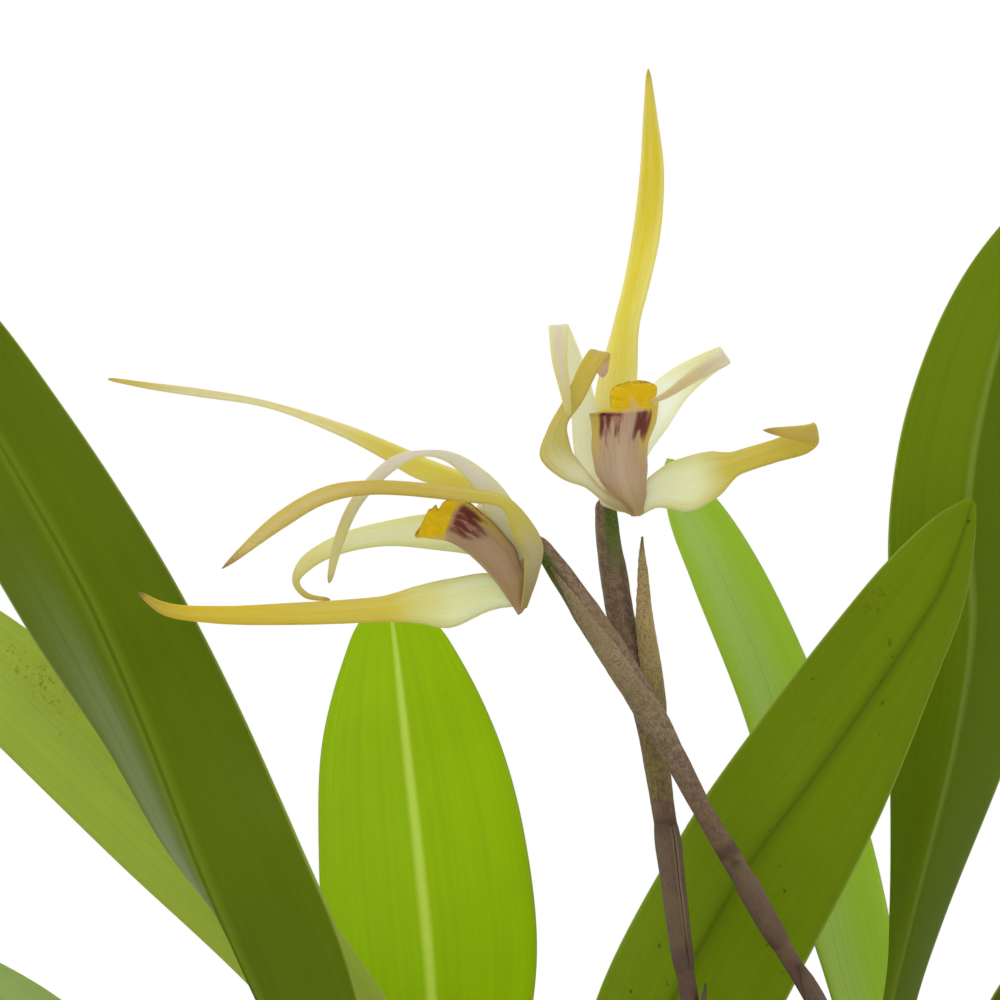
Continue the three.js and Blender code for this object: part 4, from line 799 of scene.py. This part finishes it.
# Scapes with their ovaries: slender wiry stems from the base of a growth, purple-brown and finely
# mottled, thickening into a six-ribbed ovary, green along one side, that the flower sits on.
SCAPES = {
    "left": [
        (38.5, -14, 78, 1.6), (38.5, -14, 104, 1.6), (37.2, -13.2, 130, 1.5), (32.5, -12, 150, 1.4),
        (25.8, -11, 166, 1.35), (20.1, -10.4, 177, 1.35), (13.4, -10.4, 188.3, 1.4), (7.9, -10.8, 198, 1.65),
        (3.8, -11, 204.8, 1.5), (-0.7, -11.4, 213.3, 1.75), (-4.7, -11.5, 220.4, 1.9),
        (-10.1, -11.2, 229.2, 2.3), (-13.5, -10.8, 234.3, 2.2), (-16.7, -10.4, 239.2, 1.85),
        (-21.8, -10, 246.5, 1.3),
    ],
    "right": [
        (8, -10.5, 78, 1.7), (8, -10.5, 106, 1.7), (6.4, -9.8, 140, 1.5), (4, -8.4, 160, 1.45),
        (1.5, -6.8, 177, 1.4), (0.4, -6, 184, 1.35), (-0.6, -5.4, 192, 1.5), (-2, -4.4, 203, 1.75),
        (-4.2, -3.8, 216, 1.8), (-6.5, -4, 226, 1.95), (-8.7, -4.6, 234, 2.1), (-9.8, -5.8, 240.5, 2.1),
        (-10.7, -7, 246, 1.85), (-11.2, -8, 252.4, 1.6),
    ],
}
OVARY_FROM = 0.8
GREEN_SIDE = {"left": 0.95, "right": 2.7}
NODE_AT = {"left": 0.515, "right": 0.535}


def grained(look, color, spot, mottling):
    """A colour with the fine dark mottling, net and olive clouds that stems and bracts share."""
    mottle = look.noise(spot, 1100.0, 3.0, 0.7)
    net = look.noise(spot, 3000.0, 2.0, 0.6)
    shade = look.noise(spot, 110.0, 3.0)
    color = look.mix(mottle.step(0.62, 0.38) * mottling, color, tint(88, 66, 54))
    color = look.mix(net.step(0.46, 0.62) * 0.45, color, tint(74, 52, 46))
    return look.mix(shade.step(0.42, 0.66) * 0.35, color, tint(122, 106, 64)), mottle, net


def stem_look(name, node_at):
    """A stem's skin, with a dark ring at a joint and green along one side of its ovary."""
    look = Look(name, Specular_IOR_Level=0.2)
    spot = look.where()
    _, v = look.uv()
    color = look.mix(v.step(0.45, 0.7), tint(92, 70, 57), tint(136, 114, 90))
    color, mottle, net = grained(look, color, spot, 0.7)
    color = look.mix(abs(v - node_at).step(0.016, 0.002) * 0.6, color, tint(58, 40, 34))
    green = look.mix(net.step(0.4, 0.7), tint(66, 84, 18), tint(98, 110, 40))
    color = look.mix(v.step(0.82, 0.96) * look.side().step(0.62, 0.9), color, green)
    look.paint(Base_Color=color, Roughness=0.55 + mottle * 0.2)
    look.bump(mottle + net * 0.6, 0.0002, 0.7)
    return look


def swelling(t, turn):
    """What the stem's radius is multiplied by: six ribs on the ovary, which is round at its end."""
    ribs = 0.05 * np.clip((t - OVARY_FROM) * 8, 0, 1) * np.clip((1 - t) * 12, 0, 1) * np.cos(6 * turn)
    return (1 + ribs + 0.008 * np.sin(t * 160)) * closing(t, 0.98, 0.0202, 0.12)


for side, rows in SCAPES.items():
    look = stem_look(f"scape_{side}_skin", NODE_AT[side])
    points, faces, uv = tube(rows, 24, 220, swelling)
    green_side = 0.5 + 0.5 * np.cos(2 * math.pi * uv[:, 0] - GREEN_SIDE[side])
    add_piece(f"scape_{side}_mottled", points, faces, look, f"scape_{side}", uv=uv, side=green_side)


# Scape bracts: thin pointed sheaths that clasp the stem at each joint, olive-brown and netted, dark at
# the tip and ragged at the margin. Each has the way it faces and the way it leans off the stem. A row
# is a place on the scape, the stand-off there and half the angle that the bract wraps.
BRACT_THICK = 0.3
BRACTS = {
    "left_floral": ((-0.3, -1, -0.2), (-0.3, -1, -0.2), [
        (0.645, 0, 165), (0.695, 0, 120), (0.74, 0, 56), (0.82, 0, 36), (0.9, 0, 24), (0.96, 0.1, 6)]),
    "left_middle": ((0, -1, 0.2), (0, -1, 0.2), [(0.405, 0, 165), (0.45, 0, 140), (0.5, 0.1, 12)]),
    "left_lower": ((0.6, -1, 0.1), (0.6, -1, 0.1), [
        (0.214, 0, 165), (0.3, 0, 150), (0.35, 0.1, 90), (0.39, 0.4, 10)]),
    "right_floral": ((0.5, -0.85, 0.1), (1, -0.2, 0), [
        (0.548, 0, 165), (0.6, 0.1, 110), (0.625, 0.6, 78), (0.65, 1.3, 60), (0.7, 1.9, 60),
        (0.757, 2.5, 46), (0.805, 2.9, 34), (0.88, 3.5, 18), (0.928, 4.1, 4)]),
    "right_middle": ((-0.5, 0.87, 0), (-0.5, 0.87, 0), [(0.34, 0, 177), (0.44, 0, 177), (0.543, 0, 176)]),
    "right_lower": ((1, -0.5, 0), (1, -0.5, 0), [
        (0.158, 0, 165), (0.22, 0, 150), (0.28, 0.3, 70), (0.325, 1.4, 8)]),
}


def bract_look(name, low, high, tip):
    """A bract's skin, which turns from the low to the high colour along its length."""
    look = Look(name, Specular_IOR_Level=0.3)
    spot = look.where()
    u, v = look.uv()
    patches = look.noise(spot, 300.0, 3.0)
    ribs = look.noise(look.joined(u * 60.0, v * 4.0), 1.0, 2.0)
    color = look.mix((v + patches * 0.3).step(0.25, 0.8), tint(*low), tint(*high))
    color, _, net = grained(look, color, spot, v.step(0.5, 0.05) * 0.7)
    color = look.mix(ribs.step(0.5, 0.7) * 0.25, color, tuple(c * 1.25 for c in tint(*high)))
    color = look.mix(abs(u - 0.5).step(0.46, 0.495) * v.step(0.2, 0.5) * 0.35, color, tint(172, 156, 112))
    color = look.mix(v.step(0.9, 0.99) * 0.7, color, tint(*tip))
    look.paint(Base_Color=color, Roughness=0.6 + net * 0.2)
    look.bump(net + ribs * 0.8, 0.0002, 0.8)
    look.glow_through(tint(160, 136, 84), 0.12)
    return look


free_bract = bract_look("bract_free", (132, 120, 60), (182, 158, 104), (110, 78, 54))
olive_bract = bract_look("bract_olive", (148, 130, 98), (160, 140, 102), (110, 84, 58))
brown_bract = bract_look("bract_brown", (94, 72, 59), (108, 86, 70), (74, 66, 36))
t = np.linspace(0, 1, 90)
for name, (facing, lean, rows) in BRACTS.items():
    scape = SCAPES[name.split("_")[0]]
    place = rows[0][0] + (rows[-1][0] - rows[0][0]) * t
    lift, wrap = (np.interp(place, [row[0] for row in rows], [row[k] for row in rows]) for k in (1, 2))
    ragged = 0.03 * np.clip(1.2 - wrap / 110, 0, 1)
    wrap = wrap * (1 + ragged * (np.sin(t * 57) + np.sin(t * 131 + 1)))
    along = heading(scape, place)
    out, away = (unit(np.array([way]) - along * (along @ np.array(way))[:, None]) for way in (facing, lean))
    flush = np.clip(1 - t / 0.25, 0, 1) ** 2 + (rows[-1][2] > 90) * np.clip((t - 0.85) / 0.15, 0, 1) ** 2
    radius = eased([row[3] for row in scape], place) + 0.2 - 0.45 * flush
    back = path(scape, place) + out * radius[:, None] + away * lift[:, None]
    look = {"left_floral": olive_bract, "right_floral": free_bract}.get(name, brown_bract)
    grid = rolled(back, out, along, radius, wrap, 32)
    sheet(f"bract_{name}_netted", grid, BRACT_THICK, look, f"bract_{name}")


# Columns: the fleshy rod in the middle of each flower, with the foot that carries the lip, pale and
# waxy with faint pinkish-tan blushes and reddish flecks, with a rounded cap at its end.
COLUMNS = {
    "left": (
        [(-21.4, -10, 245, 0.9), (-24.5, -9.9, 247.4, 1.4), (-28.4, -9.8, 250, 1.5),
         (-30.6, -9.8, 250.9, 0.9)],
        [(-22.4, -10, 245.4, 1.3), (-23.1, -10.1, 241.4, 1.4), (-23.3, -10.3, 237.2, 1)]),
    "right": (
        [(-11.3, -8.2, 252, 0.9), (-10.6, -9.6, 256.6, 1.4), (-9.6, -10.8, 261.4, 1.5),
         (-9.3, -11, 263.4, 0.9)],
        [(-11, -8.8, 252.2, 1.3), (-9.2, -11, 251.6, 1.3), (-7.5, -13, 250.9, 1)]),
}


def domed(t, turn):
    """What a rod's radius is multiplied by, so that it ends in a dome."""
    return closing(t, 0.93, 0.0705, 0.02) + 0 * turn


column_look = Look("column", Subsurface_Weight=0.1, Subsurface_Scale=0.002, Coat_Weight=0.1)
spot = column_look.where()
blush = column_look.noise(spot, 300.0, 3.0)
fleck = column_look.noise(spot, 1500.0, 2.0)
color = column_look.mix(blush.step(0.35, 0.65), tint(224, 208, 176), tint(214, 188, 158))
color = column_look.mix(fleck.step(0.62, 0.72) * 0.3, color, tint(160, 110, 90))
column_look.paint(Base_Color=color, Roughness=0.4 + blush * 0.15)
column_look.bump(blush, 0.0002, 0.5)
for side, (rod, foot) in COLUMNS.items():
    points, faces, uv = gather([tube(rod, 24, 60, domed), tube(foot, 24, 40, domed)])
    add_piece(f"column_{side}_capped", points, faces, column_look, f"column_{side}", uv=uv)


# Lips: a trough hinged on the column's foot, buff outside with pinkish veins and yellow-tan margins,
# dark-spotted side lobes, maroon fingers across its middle and a ruffled, brown-edged yellow midlobe.
# A row is a point of its back, the way that it faces, its radius and half the angle it wraps.
LIPS = {
    "left": [
        (-24, -10.6, 234.9, -0.5, -0.25, -0.85, 1.1, 70),
        (-26.6, -10.9, 238.9, -0.8, -0.25, -0.55, 2.8, 100),
        (-29.4, -11, 242.2, -0.78, -0.22, -0.6, 3.8, 103), (-32.6, -11, 245, -0.62, -0.2, -0.76, 4, 106),
        (-34.9, -11, 246.2, -0.5, -0.2, -0.84, 4.3, 108), (-36.2, -11, 246.4, -0.3, -0.2, -0.93, 4.4, 100),
        (-37.8, -11, 246.6, -0.2, -0.2, -0.96, 4.3, 86), (-39.6, -11, 246.8, -0.1, -0.2, -0.98, 3.4, 58),
    ],
    "right": [
        (-6.3, -14, 249.7, 0.4, -0.8, -0.4, 1, 70), (-6.9, -14.9, 252.8, 0.4, -0.9, -0.1, 2.7, 100),
        (-7.4, -15.2, 257, 0.4, -0.9, 0, 3.8, 115), (-7.4, -15.4, 261, 0.4, -0.9, 0, 4.1, 115),
        (-6.7, -15.8, 264.9, 0.38, -0.9, 0, 5, 104), (-6.7, -16.6, 266.3, 0.2, -0.9, -0.2, 4.5, 54),
        (-7, -17.7, 267.7, 0.05, -0.9, -0.25, 4.4, 54), (-7.2, -18.6, 269.6, 0, -0.9, -0.3, 4.2, 54),
    ],
}
LIP_THICK = 0.55
SINUS = {"left": 0.8, "right": 0.71}


def lip_look(name, body, pale, margin_at, groups, band, wedge_at):
    """A lip's skin. body and pale are its buff tones, margin_at the middle and half width of them,
    groups the same for each group of maroon fingers, band where these start and end, wedge_at the
    pale wedge's line."""
    look = Look(name, Coat_Weight=0.03, Coat_Roughness=0.35, Specular_IOR_Level=0.2)
    u, v = look.uv()
    spot = look.where()
    vein = look.noise(look.joined(u * 22.0, v * 2.5), 1.0, 3.0)
    grain = look.noise(spot, 900.0, 2.0)
    color = look.mix(vein.step(0.36, 0.66), tint(*body), tint(*pale))
    color = look.mix(vein.step(0.52, 0.62) * vein.step(0.72, 0.62) * 0.35, color, tint(160, 118, 92))
    # A paler band down the middle of the lip's lower half: a painted highlight.
    centre_highlight = abs(u - margin_at[0]).step(0.09, 0.0) * v.step(0.5, 0.3)
    color = look.mix(centre_highlight * 0.4, color, tint(222, 206, 190))
    color = look.mix(v.step(0.26, 0.04) * 0.7, color, tint(186, 158, 104))
    margin = abs(u - margin_at[0]).step(margin_at[1] - 0.06, margin_at[1] + 0.03) * v.step(0.24, 0.48)
    color = look.mix(margin * 0.85, color, tint(220, 200, 84))
    midlobe = (v + vein * 0.05).step(band[1] + 0.03, band[1] + 0.08)
    yellow = look.mix(grain.step(0.4, 0.7), tint(234, 204, 0), tint(244, 216, 20))
    color = look.mix(midlobe, color, yellow)
    wedge = abs(u - wedge_at) - (v * -0.5 + 0.44)
    color = look.mix(wedge.step(0.02, -0.03) * v.step(band[1] - 0.04, band[1] + 0.02) * 0.75, color,
                     tint(226, 206, 150))
    finger = look.noise(look.joined(u * 17.0, v * 7.0), 1.0, 2.0) + vein * 0.2
    for middle, reach in groups:
        place = abs(u - middle).step(reach, reach * 0.55) * (v + finger * 0.3 - 0.15).step(
            band[0] - 0.04, band[0] + 0.07)
        place = place * v.step(band[1] + 0.02, band[1] - 0.03)
        color = look.mix(place * finger.step(0.38, 0.52) * 0.85, color, tint(140, 56, 62))
        color = look.mix(place * finger.step(0.52, 0.62) * 0.8, color, tint(96, 24, 42))
    hem = abs(u - 0.5).step(0.472, 0.49) * v.step(0.06, 0.14)
    color = look.mix(hem * 0.55, color, tint(140, 100, 62))
    edge = abs(u - 0.5).step(0.465, 0.495) * v.step(0.4, 0.46)
    rim = look.node("ShaderNodeMath", {0: edge, 1: v.step(0.972, 0.992)}, operation="MAXIMUM")
    dots = look.noise(look.joined(u * 40.0, v * 46.0), 1.0, 1.0).step(0.48, 0.56)
    color = look.mix(rim * dots * 0.8, color, tint(110, 66, 30))
    look.paint(Base_Color=color, Roughness=0.45 + vein * 0.2)
    look.bump(vein + grain * 0.4, 0.0002, 0.6)
    look.glow_through(look.mix(0.3, color, tint(255, 236, 190)), 0.45)
    return look


LIP_LOOKS = {
    "left": dict(body=(188, 158, 118), pale=(204, 180, 150), margin_at=(0.5, 0.42),
                 groups=[(0.82, 0.17), (0.2, 0.17)], band=(0.45, 0.6), wedge_at=0.5),
    "right": dict(body=(198, 172, 134), pale=(212, 192, 168), margin_at=(0.39, 0.2),
                  groups=[(0.285, 0.125), (0.575, 0.095)], band=(0.48, 0.605), wedge_at=0.45),
}
t = np.linspace(0, 1, 130)
u = np.linspace(-1, 1, 57)[None, :]
frill = np.clip(t - 0.66, 0, 1)[:, None]
for side, rows in LIPS.items():
    look = lip_look(f"lip_{side}_skin", **LIP_LOOKS[side])
    out = unit(path(rows, t, 3))
    ruffle = frill * u ** 2 * (1.0 * np.sin(60 * t)[:, None] + 0.6 * np.sin(100 * t[:, None] + 3 * u))
    wrap = eased([row[7] for row in rows], t) * np.sqrt(1 - 0.93 * np.clip((t - 0.82) / 0.18, 0, 1) ** 2)
    wrap *= 1 - 0.14 * np.exp(-((t - SINUS[side]) / 0.025) ** 2)
    grid = rolled(path(rows, t), out, heading(rows, t), eased([row[6] for row in rows], t), wrap, 57, ruffle)
    sheet(f"lip_{side}_spotted", grid, LIP_THICK, look, f"lip_{side}")


# Sepals and petals: long thin tepals, waxy and lit through. The sepals are mustard yellow, greenish
# white and net-veined at their broad bases; the narrower petals are cream with a lilac middle, which on two
# of them is a lilac-grey of painted shade where they lie in shadow.
# A row is a point of the middle line and the half width as a vector.
TEPAL_THICK = 0.6
TEPALS = {
    "dorsal_sepal_left": [
        (-22.8, -8.4, 247.7, 0.4, 0.4, 0.7), (-29.2, -8.6, 252.9, 0.65, 0.5, 1.4),
        (-39.3, -8.8, 257, 0.6, 0.3, 1.6), (-44.3, -9.2, 259.6, 0.5, 0.4, 1.25),
        (-51, -9.8, 262.7, 0.3, 0.7, 0.85), (-62, -10.2, 266.4, 0.1, 0.8, 0.38),
        (-72, -10.4, 268.1, 0.08, 0.6, 0.55), (-79.5, -10.6, 269.1, 0.06, 0.3, 0.45),
        (-85.7, -10.8, 270.1, 0.02, 0.1, 0.2),
    ],
    "front_petal_left": [
        (-22.9, -12.4, 243.7, 1.3, 0.3, 0.9), (-26.2, -13.2, 249, 1.9, 0.1, 1.5),
        (-29.2, -13.7, 254.1, 1.3, 0, 1.1), (-34.2, -14.2, 258.3, 0.5, 0.5, 0.7),
        (-38.4, -14.6, 259, 0, 0.9, 0.35), (-42.6, -14.8, 257.7, -0.6, 0.4, 0.75),
        (-48.3, -14.8, 251.9, -0.8, 0, 0.4), (-51.2, -14.6, 245.4, -0.75, 0, 0.2),
        (-52.5, -14.4, 239.6, -0.4, 0, 0),
    ],
    "front_lateral_sepal_left": [
        (-23.4, -11.6, 235.9, 0.45, 0.2, 0.2), (-22.3, -14.4, 240.8, 1.05, 0.5, 0),
        (-22, -15.2, 244.6, 1.5, 0.7, 0.5), (-23.6, -15.9, 247.6, 1.2, 0.9, 1.4),
        (-26.4, -16.8, 251.7, 0.3, 0.9, 0.9), (-32.3, -17.2, 252.8, 0, 0.6, 1.05),
        (-45.8, -17.8, 253.9, 0, 0.5, 1.05), (-52.8, -17.6, 252.8, -0.15, 0.2, 1.25),
        (-59.5, -16.8, 249.1, -0.6, 0, 1.1), (-68.4, -15.5, 241.8, -0.25, 0, 0.2),
    ],
    "back_petal_left": [
        (-22.2, -7.4, 246.4, 0.3, 0.2, 1.2), (-27, -5.8, 246.2, 0.3, 0.2, 3),
        (-35, -4.5, 247.2, 0.25, 0, 2.9), (-44.3, -4.6, 246.9, -0.2, 0, 1.85),
        (-51.4, -5.4, 245.2, -0.5, 0, 1.35), (-56.2, -6.6, 242.4, -0.9, 0, 0.7),
        (-57.7, -6.9, 239.7, -0.55, 0, 0), (-56.2, -7.3, 237.7, -0.3, 0, -0.35),
        (-52.5, -8, 237, 0, 0, -0.28),
    ],
    "back_lateral_sepal_left": [
        (-24.6, -9, 237, 0.3, 0, 1), (-28, -8.6, 238.2, 0, 0.2, 2.7), (-34.5, -8.6, 236.5, 0, 0.1, 3.7),
        (-39.4, -8.8, 236.3, 0, 0, 2.8), (-45, -9.2, 235.6, 0, 0, 1.9), (-58.5, -9.6, 234.9, 0, 0, 1.65),
        (-70, -10, 234.8, 0, 0, 1.3), (-77.3, -10.2, 235.7, 0.2, 0, 0.95),
        (-81.3, -10.6, 238.2, 0.2, 0, 0.2),
    ],
    "dorsal_sepal_right": [
        (-10.9, -5.9, 253.6, 2, 0.5, 0), (-10.3, -4.6, 261, 3.2, 0.4, 0), (-9.3, -3.4, 270, 3, 0, 0.3),
        (-8, -2.6, 278.7, 2, -1.3, 0.3), (-6.6, -2.1, 284.2, 2, -1.4, 0.3),
        (-4.9, -1.7, 292.4, 2.1, -0.9, 0.2), (-4, -1, 302, 1.8, -0.4, 0), (-4.2, 0, 310, 1.1, 0, 0),
        (-4.5, 0.8, 317.4, 0.3, 0, 0),
    ],
    "left_petal_right": [
        (-12.5, -6.9, 253.6, 1.1, 0.6, 0), (-13.9, -7, 259, 1.8, 0.8, 0), (-14.3, -7.3, 265.4, 2, 0.5, -0.2),
        (-16.1, -8, 273, 1.7, 0.2, -0.4), (-18.1, -9.2, 277.8, 1.5, 0, 0.1),
        (-18.2, -11.4, 277.5, 1.45, 0, 0.1), (-18.1, -13.6, 272.8, 1.15, 0, 0),
        (-17.3, -16.8, 268.2, 0.8, 0, 0), (-16.8, -18.6, 264.2, 0.3, 0, 0),
    ],
    "right_petal_right": [
        (-9, -6.6, 253.4, 1.6, 0.4, -0.2), (-7, -6.6, 259.6, 2.3, 0.3, -0.9),
        (-4.1, -7, 264.8, 2.4, 0.2, -1.8), (0, -7.8, 269.6, 1.6, 0.1, -1.75),
        (6.2, -9.4, 273.6, 0.8, 0, -1.2), (6.4, -11.4, 273.4, 0.8, 0, -1.15),
        (2, -13.6, 270.6, 0.4, 0, -0.9), (-2.2, -17.6, 267.7, 0.2, 0, -0.5),
        (-4.6, -20.6, 266.5, 0.1, 0, -0.3),
    ],
    "left_lateral_sepal_right": [
        (-7.6, -14.6, 250.3, 0.1, -0.1, -0.5), (-8.8, -15.4, 251, 0.2, -0.2, -0.75),
        (-11.4, -15.5, 252.5, 0.25, -0.35, -1.1), (-14.3, -14.2, 255.3, 0.1, -0.4, -1.5),
        (-17.1, -14.2, 257.2, -0.9, -0.3, -1.9), (-18.9, -14.8, 259.8, -2.15, 0, -1.3),
        (-18.4, -15.2, 263, -1.5, 0, -0.4), (-16, -15.4, 267, -1.3, 0, 0.3),
        (-13.6, -15, 271.9, -1.5, 0, 0.2), (-12.1, -13.5, 274, -1.5, 0, 0.3),
        (-11.8, -11.9, 272.7, -1.15, 0, 0.2), (-11.7, -10.8, 270.5, -0.7, 0, 0.1),
    ],
    "right_lateral_sepal_right": [
        (-5.6, -12.9, 252.4, 0.7, 0.1, 2.9), (-3.6, -12.6, 253.6, 0.1, 0, 2.8),
        (-1.9, -12.3, 254.1, 0, 0, 3.4), (1.6, -12.2, 254.5, 0, 0, 4.2), (5.1, -12.4, 255.9, -0.6, 0, 3.4),
        (8.4, -12.7, 257.5, -0.4, 0, 1.75), (14, -12.7, 259.3, -0.2, 0, 1.7),
        (18.6, -12.4, 260.9, -0.3, 0, 1.95), (20.3, -13.4, 262, -0.3, 0, 1.6), (18.6, -15, 261.9, 0, 0, 1.3),
        (12.2, -16.2, 262.4, 0, 0, 0.3),
    ],
}


def tepal_look(name, tones, tip, rim, middle, middle_at=(0.0, 1.0), through=0.5):
    """A tepal's skin. tones are colours from base to tip, each with its place; rim and middle are
    colours of the margins and of the midline, with their shares; middle_at is where the midline's is."""
    look = Look(name, Coat_Weight=0.02, Coat_Roughness=0.4, Specular_IOR_Level=0.15)
    u, v = look.uv()
    spot = look.where()
    off = abs(u - 0.5) * 2.0
    streak = look.noise(look.joined(u * 14.0, v * 3.0), 1.0, 3.0)
    vein = look.noise(look.joined(u * 46.0, v * 9.0), 1.0, 2.0)
    cloud = look.noise(spot, 240.0, 3.0)
    along = v + cloud * 0.08 - 0.04
    color = tint(*tones[0][1])
    for (start, _), (end, tone) in zip(tones, tones[1:]):
        color = look.mix(along.step(start, end), color, tint(*tone))
    color = look.mix(off.step(0.45, 0.98) * rim[1], color, tint(*rim[0]))
    place = off.step(0.7, 0.15) * v.step(middle_at[0] - 0.1, middle_at[0] + 0.1)
    place = place * v.step(middle_at[1] + 0.08, middle_at[1] - 0.08)
    color = look.mix(place * middle[1], color, tint(*middle[0]))
    color = look.mix(streak.step(0.4, 0.75) * 0.2, color, tint(250, 248, 222))
    color = look.mix(vein.step(0.5, 0.68) * 0.1, color, tint(150, 132, 74))
    color = look.mix(v.step(0.95, 0.997) * 0.8, color, tint(*tip))
    look.paint(Base_Color=color, Roughness=0.42 + streak * 0.2)
    look.bump(streak + vein * 0.4, 0.00015, 0.6)
    look.glow_through(look.mix(0.25, color, tint(255, 250, 214)), through)
    return look


# The petals' lilac-grey middle is painted shade: the tint that a cream petal takes in shadow, lit through.
SHADED_LILAC = (230, 218, 220)
TEPAL_LOOKS = {
    "dorsal_sepal_left": dict(
        tones=[(0.0, (226, 224, 160)), (0.2, (228, 218, 94)), (0.36, (228, 216, 94)),
               (0.55, (232, 224, 176)), (0.76, (228, 222, 190)), (0.95, (214, 196, 92))],
        tip=(214, 184, 110), rim=((240, 234, 170), 0.5), middle=((218, 200, 70), 0.35)),
    "front_petal_left": dict(
        tones=[(0.0, (230, 234, 204)), (0.25, (224, 228, 204)), (0.6, (232, 228, 222)),
               (0.85, (220, 214, 160))],
        tip=(206, 194, 130), rim=((226, 220, 148), 0.5), middle=(SHADED_LILAC, 0.7), middle_at=(0.15, 0.7),
        through=0.6),
    "front_lateral_sepal_left": dict(
        # Its darker, yellower base: the yellow is its own colour, and the darkness is painted shade where it
        # bends.
        tones=[(0.0, (186, 170, 112)), (0.2, (200, 190, 144)), (0.42, (216, 206, 94)),
               (0.65, (212, 192, 86)), (0.85, (220, 204, 112))],
        tip=(180, 140, 84), rim=((210, 184, 76), 0.5), middle=((228, 208, 160), 0.5), middle_at=(0.7, 1.0)),
    "back_petal_left": dict(
        tones=[(0.0, (238, 242, 216)), (0.4, (234, 236, 196)), (0.62, (230, 224, 166)),
               (0.9, (212, 200, 112))],
        tip=(196, 176, 100), rim=((216, 214, 120), 0.35), middle=((238, 238, 220), 0.5),
        middle_at=(0.0, 0.5), through=0.65),
    "back_lateral_sepal_left": dict(
        tones=[(0.0, (242, 250, 228)), (0.2, (240, 248, 222)), (0.36, (232, 232, 172)),
               (0.5, (226, 210, 84)), (0.8, (232, 206, 44)), (0.95, (204, 176, 62))],
        tip=(120, 84, 50), rim=((214, 200, 90), 0.4), middle=((230, 218, 110), 0.25), through=0.62),
    "dorsal_sepal_right": dict(
        tones=[(0.0, (240, 238, 206)), (0.14, (238, 234, 178)), (0.34, (232, 224, 112)),
               (0.55, (232, 220, 80)), (0.75, (220, 204, 44)), (0.95, (216, 204, 96))],
        tip=(206, 180, 80), rim=((242, 236, 160), 0.6), middle=((228, 212, 44), 0.5)),
    "left_petal_right": dict(
        tones=[(0.0, (248, 250, 236)), (0.34, (242, 244, 226)), (0.6, (238, 234, 210)),
               (0.9, (224, 216, 140))],
        tip=(214, 206, 140), rim=((234, 232, 180), 0.35), middle=(SHADED_LILAC, 0.7), middle_at=(0.55, 0.92),
        through=0.65),
    "right_petal_right": dict(
        tones=[(0.0, (252, 255, 255)), (0.3, (250, 255, 252)), (0.48, (236, 236, 204)),
               (0.62, (236, 232, 228)), (0.8, (226, 210, 176))],
        tip=(212, 194, 136), rim=((238, 238, 180), 0.4), middle=((224, 206, 192), 0.6),
        middle_at=(0.62, 1.0), through=0.75),
    "left_lateral_sepal_right": dict(
        tones=[(0.0, (156, 134, 92)), (0.14, (178, 160, 118)), (0.28, (224, 224, 188)),
               (0.48, (208, 200, 114)), (0.75, (214, 194, 76)), (0.86, (214, 186, 120)),
               (0.93, (228, 206, 200))],
        tip=(226, 204, 200), rim=((212, 192, 80), 0.45), middle=((234, 230, 196), 0.5),
        middle_at=(0.15, 0.42)),
    "right_lateral_sepal_right": dict(
        tones=[(0.0, (240, 244, 220)), (0.3, (238, 242, 208)), (0.48, (218, 204, 84)),
               (0.7, (214, 196, 68)), (0.9, (210, 188, 94))],
        tip=(188, 156, 88), rim=((212, 196, 80), 0.4), middle=((238, 238, 214), 0.4), middle_at=(0.0, 0.36),
        through=0.6),
}
t = np.linspace(0, 1, 110)
u = np.linspace(-1, 1, 13)[None, :, None]
tip = closing(t, 0.97, 0.0303)[:, None]
for name, rows in TEPALS.items():
    half = path(rows, t, 3) * tip
    along = heading(rows, t)
    lift = np.cross(along, half)[:, None] * 0.12 * u ** 2
    grid = path(rows, t)[:, None] + half[:, None] * u + lift
    look = tepal_look(f"{name}_skin", **TEPAL_LOOKS[name])
    sheet(f"{name}_waxy", grid, TEPAL_THICK, look, name)
